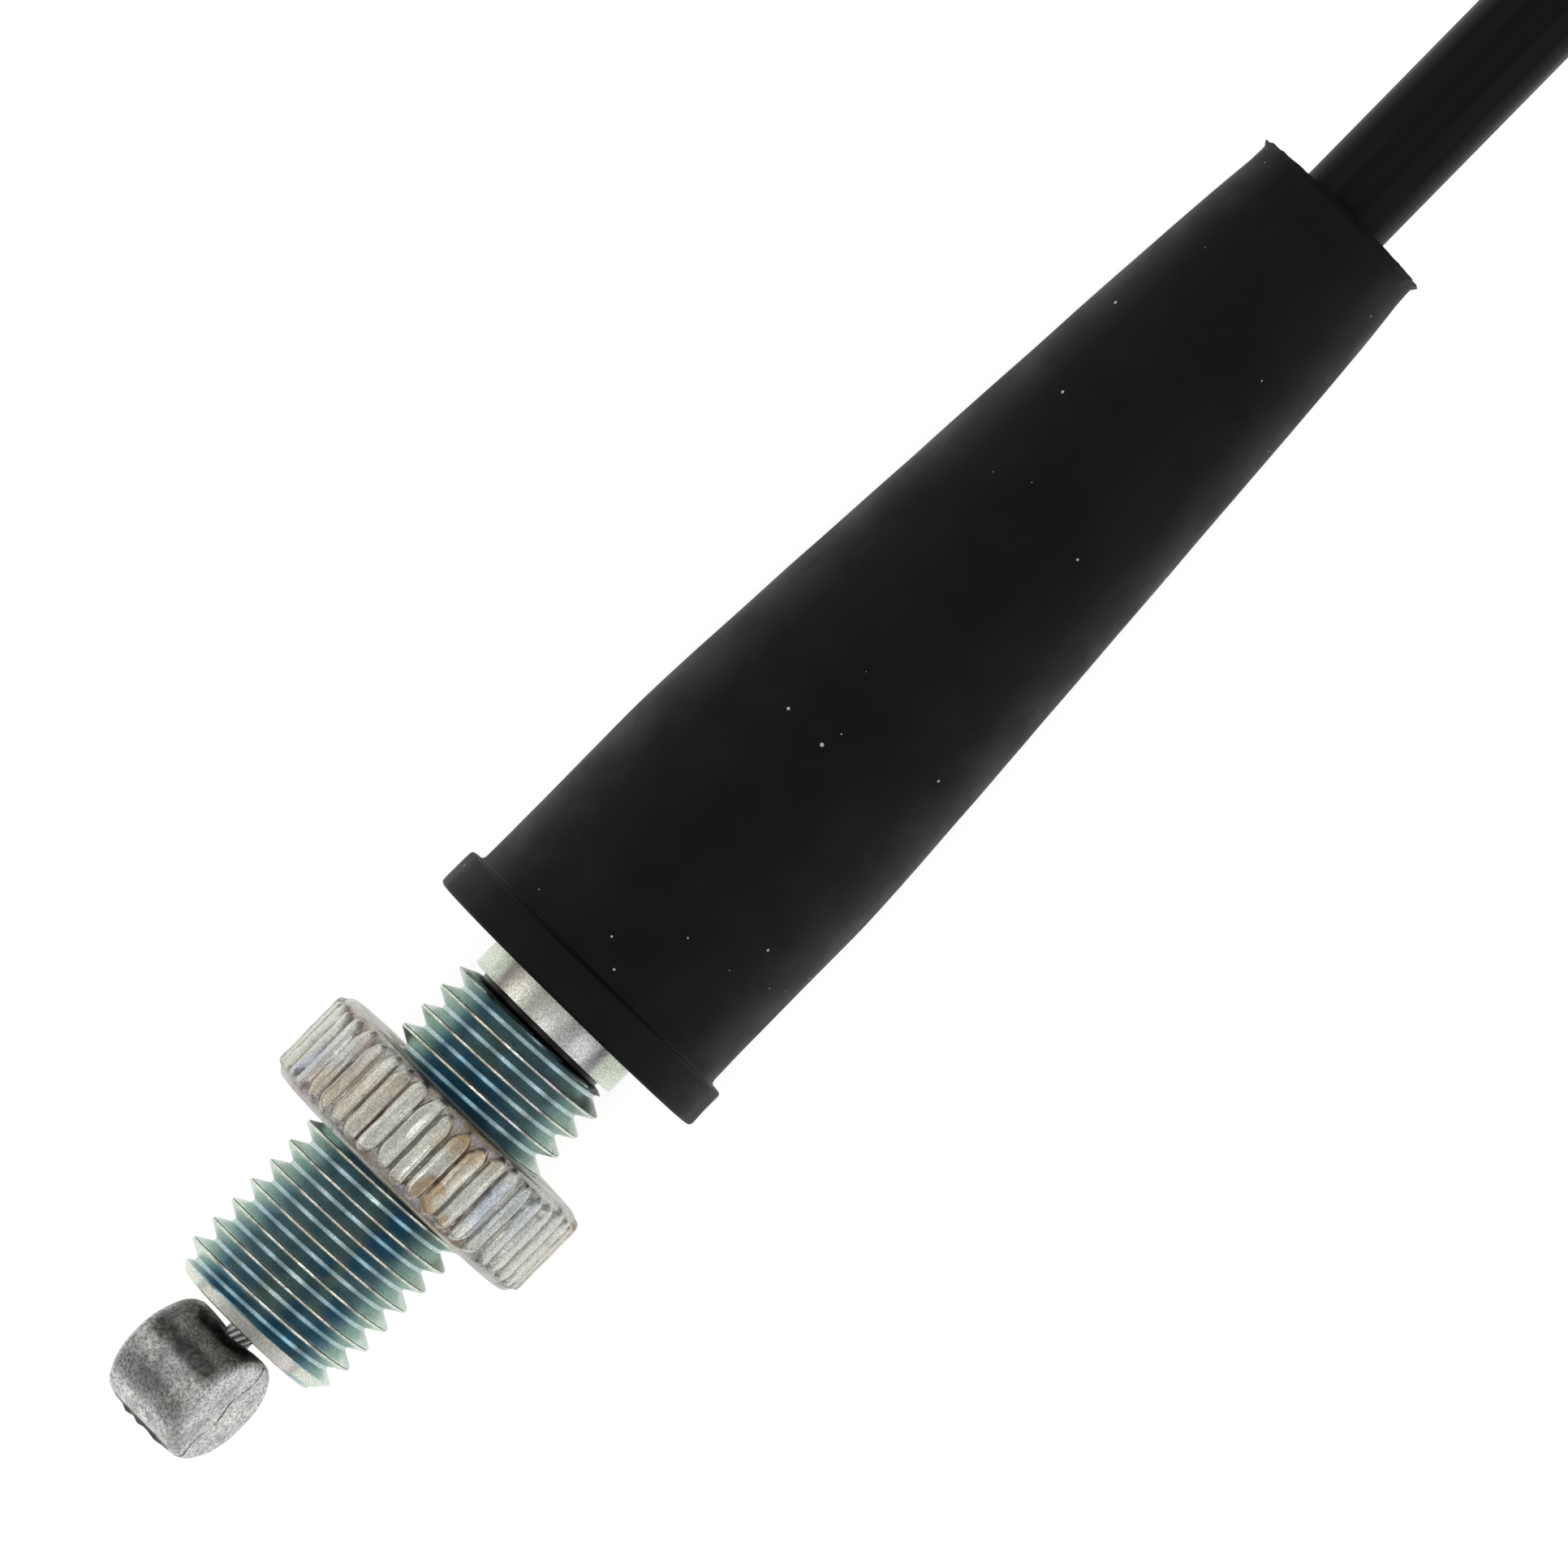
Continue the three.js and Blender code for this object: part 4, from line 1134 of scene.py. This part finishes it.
def liner(name, node, y, z):
    low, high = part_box(node)
    length = (high.x - low.x) / MM
    profile = refine(rounded([[0, 0.78], [0, 0.98], [length, 0.98], [length, 0.78]], [0.05] * 4, 2), 4)
    piece = add_object(name, moved(turned(name, profile, 48), low.x, y, z))
    return place(piece, "casing", LINER, "liner_plastic", node)


conduit("near_wound_conduit", "near_conduit", 0.0, AXIS_Z)
liner("near_inner_liner", "near_liner", 0.0, AXIS_Z)
far_conduit = conduit("far_wound_conduit", "far_conduit", FAR_Y, FAR_Z)
far_liner = liner("far_inner_liner", "far_liner", FAR_Y, FAR_Z)

# %% [markdown]
# ## The ties
#
# Two nylon ties hold the coil. A tie's strap follows the bundle in a rounded loop, passes through its
# own head and is cut off just beyond. The strap is a flat section swept round that loop, and the head
# is a small bevelled block with the strap's end standing out of it.

# %% Coil ties
RING_OUT, RING_IN = COIL_OUTER_R + CASING_R, COIL_OUTER_R - 2 * LAYER - CASING_R
COIL_LOW, COIL_HIGH = LOW_Z - CASING_R, HIGH_Z + CASING_R
TIE_WIDTH, TIE_CORNER, TIE_EDGE = 2.4, 1.9, 0.12
TIE_PLAY = {"sides": 0.06, "below": 0.04, "above": 0.10}
STRAP_STEP = 0.35
RIB_START, RIB_END, RIB_FLOOR = 0.55, 0.45, 0.42


def rounded_loop(left, right, bottom, top, corner, steps=8):
    """A closed rounded rectangle, counter-clockwise, as (points, 2), with its outward directions."""
    points, outward = [], []
    for x, z, start in ((right - corner, bottom + corner, -90), (right - corner, top - corner, 0),
                        (left + corner, top - corner, 90), (left + corner, bottom + corner, 180)):
        for degree in np.linspace(start, start + 90, steps + 1):
            way = np.array([math.cos(math.radians(degree)), math.sin(math.radians(degree))])
            points.append(np.array([x, z]) + corner * way)
            outward.append(way)
    return np.array(points), np.array(outward)


def block(low, high, bevel):
    """A bevelled block, as a mesh part."""
    work = bmesh.new()
    bmesh.ops.create_cube(work, size=1.0)
    size, middle = (np.array(high) - low), (np.array(high) + low) / 2
    for vertex in work.verts:
        vertex.co = Vector(np.array(vertex.co) * size + middle)
    bmesh.ops.bevel(work, geom=work.edges[:], offset=bevel, segments=3, affect="EDGES", profile=0.5)
    bmesh.ops.triangulate(work, faces=work.faces[:])
    spots = np.array([v.co for v in work.verts])
    faces = np.array([[v.index for v in f.verts] + [f.verts[-1].index] for f in work.faces])
    work.free()
    return spots, faces


def strap_rings():
    """The strap round the bundle, as rings across a flat section with rounded edges."""
    thick = TIE_THICK
    middle = TIE_THICK / 2 + 0.02
    loop, outward = rounded_loop(
        RING_IN - TIE_PLAY["sides"] - middle, RING_OUT + TIE_PLAY["sides"] + middle,
        COIL_LOW - TIE_PLAY["below"] - middle, COIL_HIGH + TIE_PLAY["above"] + middle, TIE_CORNER)
    fine, way = [], []
    for k, (a, b) in enumerate(zip(loop, np.roll(loop, -1, axis=0))):
        count = max(1, round(float(np.linalg.norm(b - a)) / STRAP_STEP))
        for t in np.arange(count) / count:
            fine.append(a + (b - a) * t)
            way.append(outward[k] * (1 - t) + outward[(k + 1) % len(loop)] * t)
    fine, way = np.array(fine), np.array(way)
    way /= np.linalg.norm(way, axis=1)[:, None]
    half, edge = TIE_WIDTH / 2, TIE_EDGE
    section = [(-half + edge, -0.5), (half - edge, -0.5), (half, -0.5 + edge / thick),
               (half, 0.5 - edge / thick), (half - edge, 0.5), (RIB_START, 0.5),
               (RIB_END, RIB_FLOOR), (-RIB_END, RIB_FLOOR), (-RIB_START, 0.5),
               (-half + edge, 0.5), (-half, 0.5 - edge / thick), (-half, -0.5 + edge / thick)]
    rings = np.array([[[(p + w * thick * out)[0], across, (p + w * thick * out)[1]]
                       for across, out in section] for p, w in zip(fine, way)])
    return rings


def coil_tie(name, node, angle):
    """A tie at one side of the coil; angle 0 is the side furthest from the boot."""
    rings = strap_rings()
    middle = (RING_IN + RING_OUT) / 2
    base = COIL_HIGH + 0.14 + TIE_THICK * 0.6
    parts = [
        (rings, ring_faces(len(rings), rings.shape[1], True)),
        block([middle - 2.2, -1.75, base], [middle + 2.2, 1.75, base + 2.5], 0.35),
        block([middle - 1.1, -1.2, base + 0.3], [middle - 0.6, 1.2, base + 3.0], 0.12),
        block([middle + 2.0, -1.2, base + 0.1], [middle + 3.4, 1.2, base + 0.6], 0.15),
    ]
    mesh = mesh_of(name, parts, sharp=math.radians(40))
    mesh.transform(Matrix.Scale(MM, 4))
    centre = (station(COIL_STATION), COIL_OUTER_R * MM, 0)
    mesh.transform(Matrix.Translation(centre) @ Matrix.Rotation(angle, 4, "Z"))
    return place(add_object(name, mesh), "casing", NYLON, "tie_nylon", node)


ties = [coil_tie("outer_tie", "coil_tie_outer", 0.0),
        coil_tie("inner_tie", "coil_tie_inner", math.pi)]

print("tie faces:", len(ties[0].data.polygons))

# %% [markdown]
# ## Table and light
#
# The cable lies on white, under soft light from both sides. Black rubber and plated steel show little
# of their own: what they show is what they reflect. Two long soft boxes beside the cable and the
# glowing table draw a bright edge along each side of every cylinder. Rubber reflects little when seen
# square on, so its middle stays deep, and a small box overhead gives the metal a glint.

# %% Table, lights and world
TABLE_GLOW = 0.64
ROOM_STRENGTH = 0.55


def white_table():
    mesh = bpy.data.meshes.new("table")
    size = 4.0
    mesh.from_pydata([(-size, -size, 0), (size, -size, 0), (size, size, 0), (-size, size, 0)], [],
                     [(0, 1, 2, 3)])
    table = add_object("table", mesh)
    made = Finish("table_white", bump=0.0, bump_distance=0.1 * MM, Roughness=0.8)
    made.set("Base Color", made.mix(made.noise(3.0, 2.0), grey(0.82), grey(0.85)))
    made.shader.inputs["Emission Color"].default_value = grey(1.0)
    made.shader.inputs["Emission Strength"].default_value = TABLE_GLOW
    made.height(made.noise(900, 2.0))
    mesh.materials.append(made.material)


def soft_box(name, azimuth, elevation, distance, size, power):
    """An area light that faces the cable; azimuth 0 is at +X and 90 at +Y, in degrees."""
    data = bpy.data.lights.new(name, "AREA")
    data.shape = "RECTANGLE"
    data.size, data.size_y = size
    data.energy = power
    light = bpy.data.objects.new(name, data)
    a, e = math.radians(azimuth), math.radians(elevation)
    way = Vector((math.cos(a) * math.cos(e), math.sin(a) * math.cos(e), math.sin(e)))
    light.location = LOOK_AT + way * distance
    light.rotation_euler = way.to_track_quat("Z", "Y").to_euler()
    bpy.context.scene.collection.objects.link(light)


white_table()
soft_box("left_box", 90, 35, 0.7, (0.8, 0.30), 0.9)
soft_box("right_box", -90, 35, 0.7, (0.8, 0.30), 0.9)
soft_box("top_box", 180, 84, 0.7, (0.22, 0.12), 0.35)

world = bpy.data.worlds.new("room")
bpy.context.scene.world = world
world.use_nodes = True
room = Tree(world.node_tree)
background = world.node_tree.nodes["Background"]
background.inputs["Strength"].default_value = ROOM_STRENGTH
way = room.add("ShaderNodeTexCoord").outputs["Generated"]
height = room.add("ShaderNodeSeparateXYZ", {"Vector": way}).outputs["Z"]
room.join(room.mix(room.ramp(height, 0.10, 0.45), grey(0.45), (1.0, 1.0, 0.98, 1)),
          background.inputs["Color"])
bpy.context.scene.view_settings.view_transform = "Standard"
print("lights:", len(bpy.data.lights))
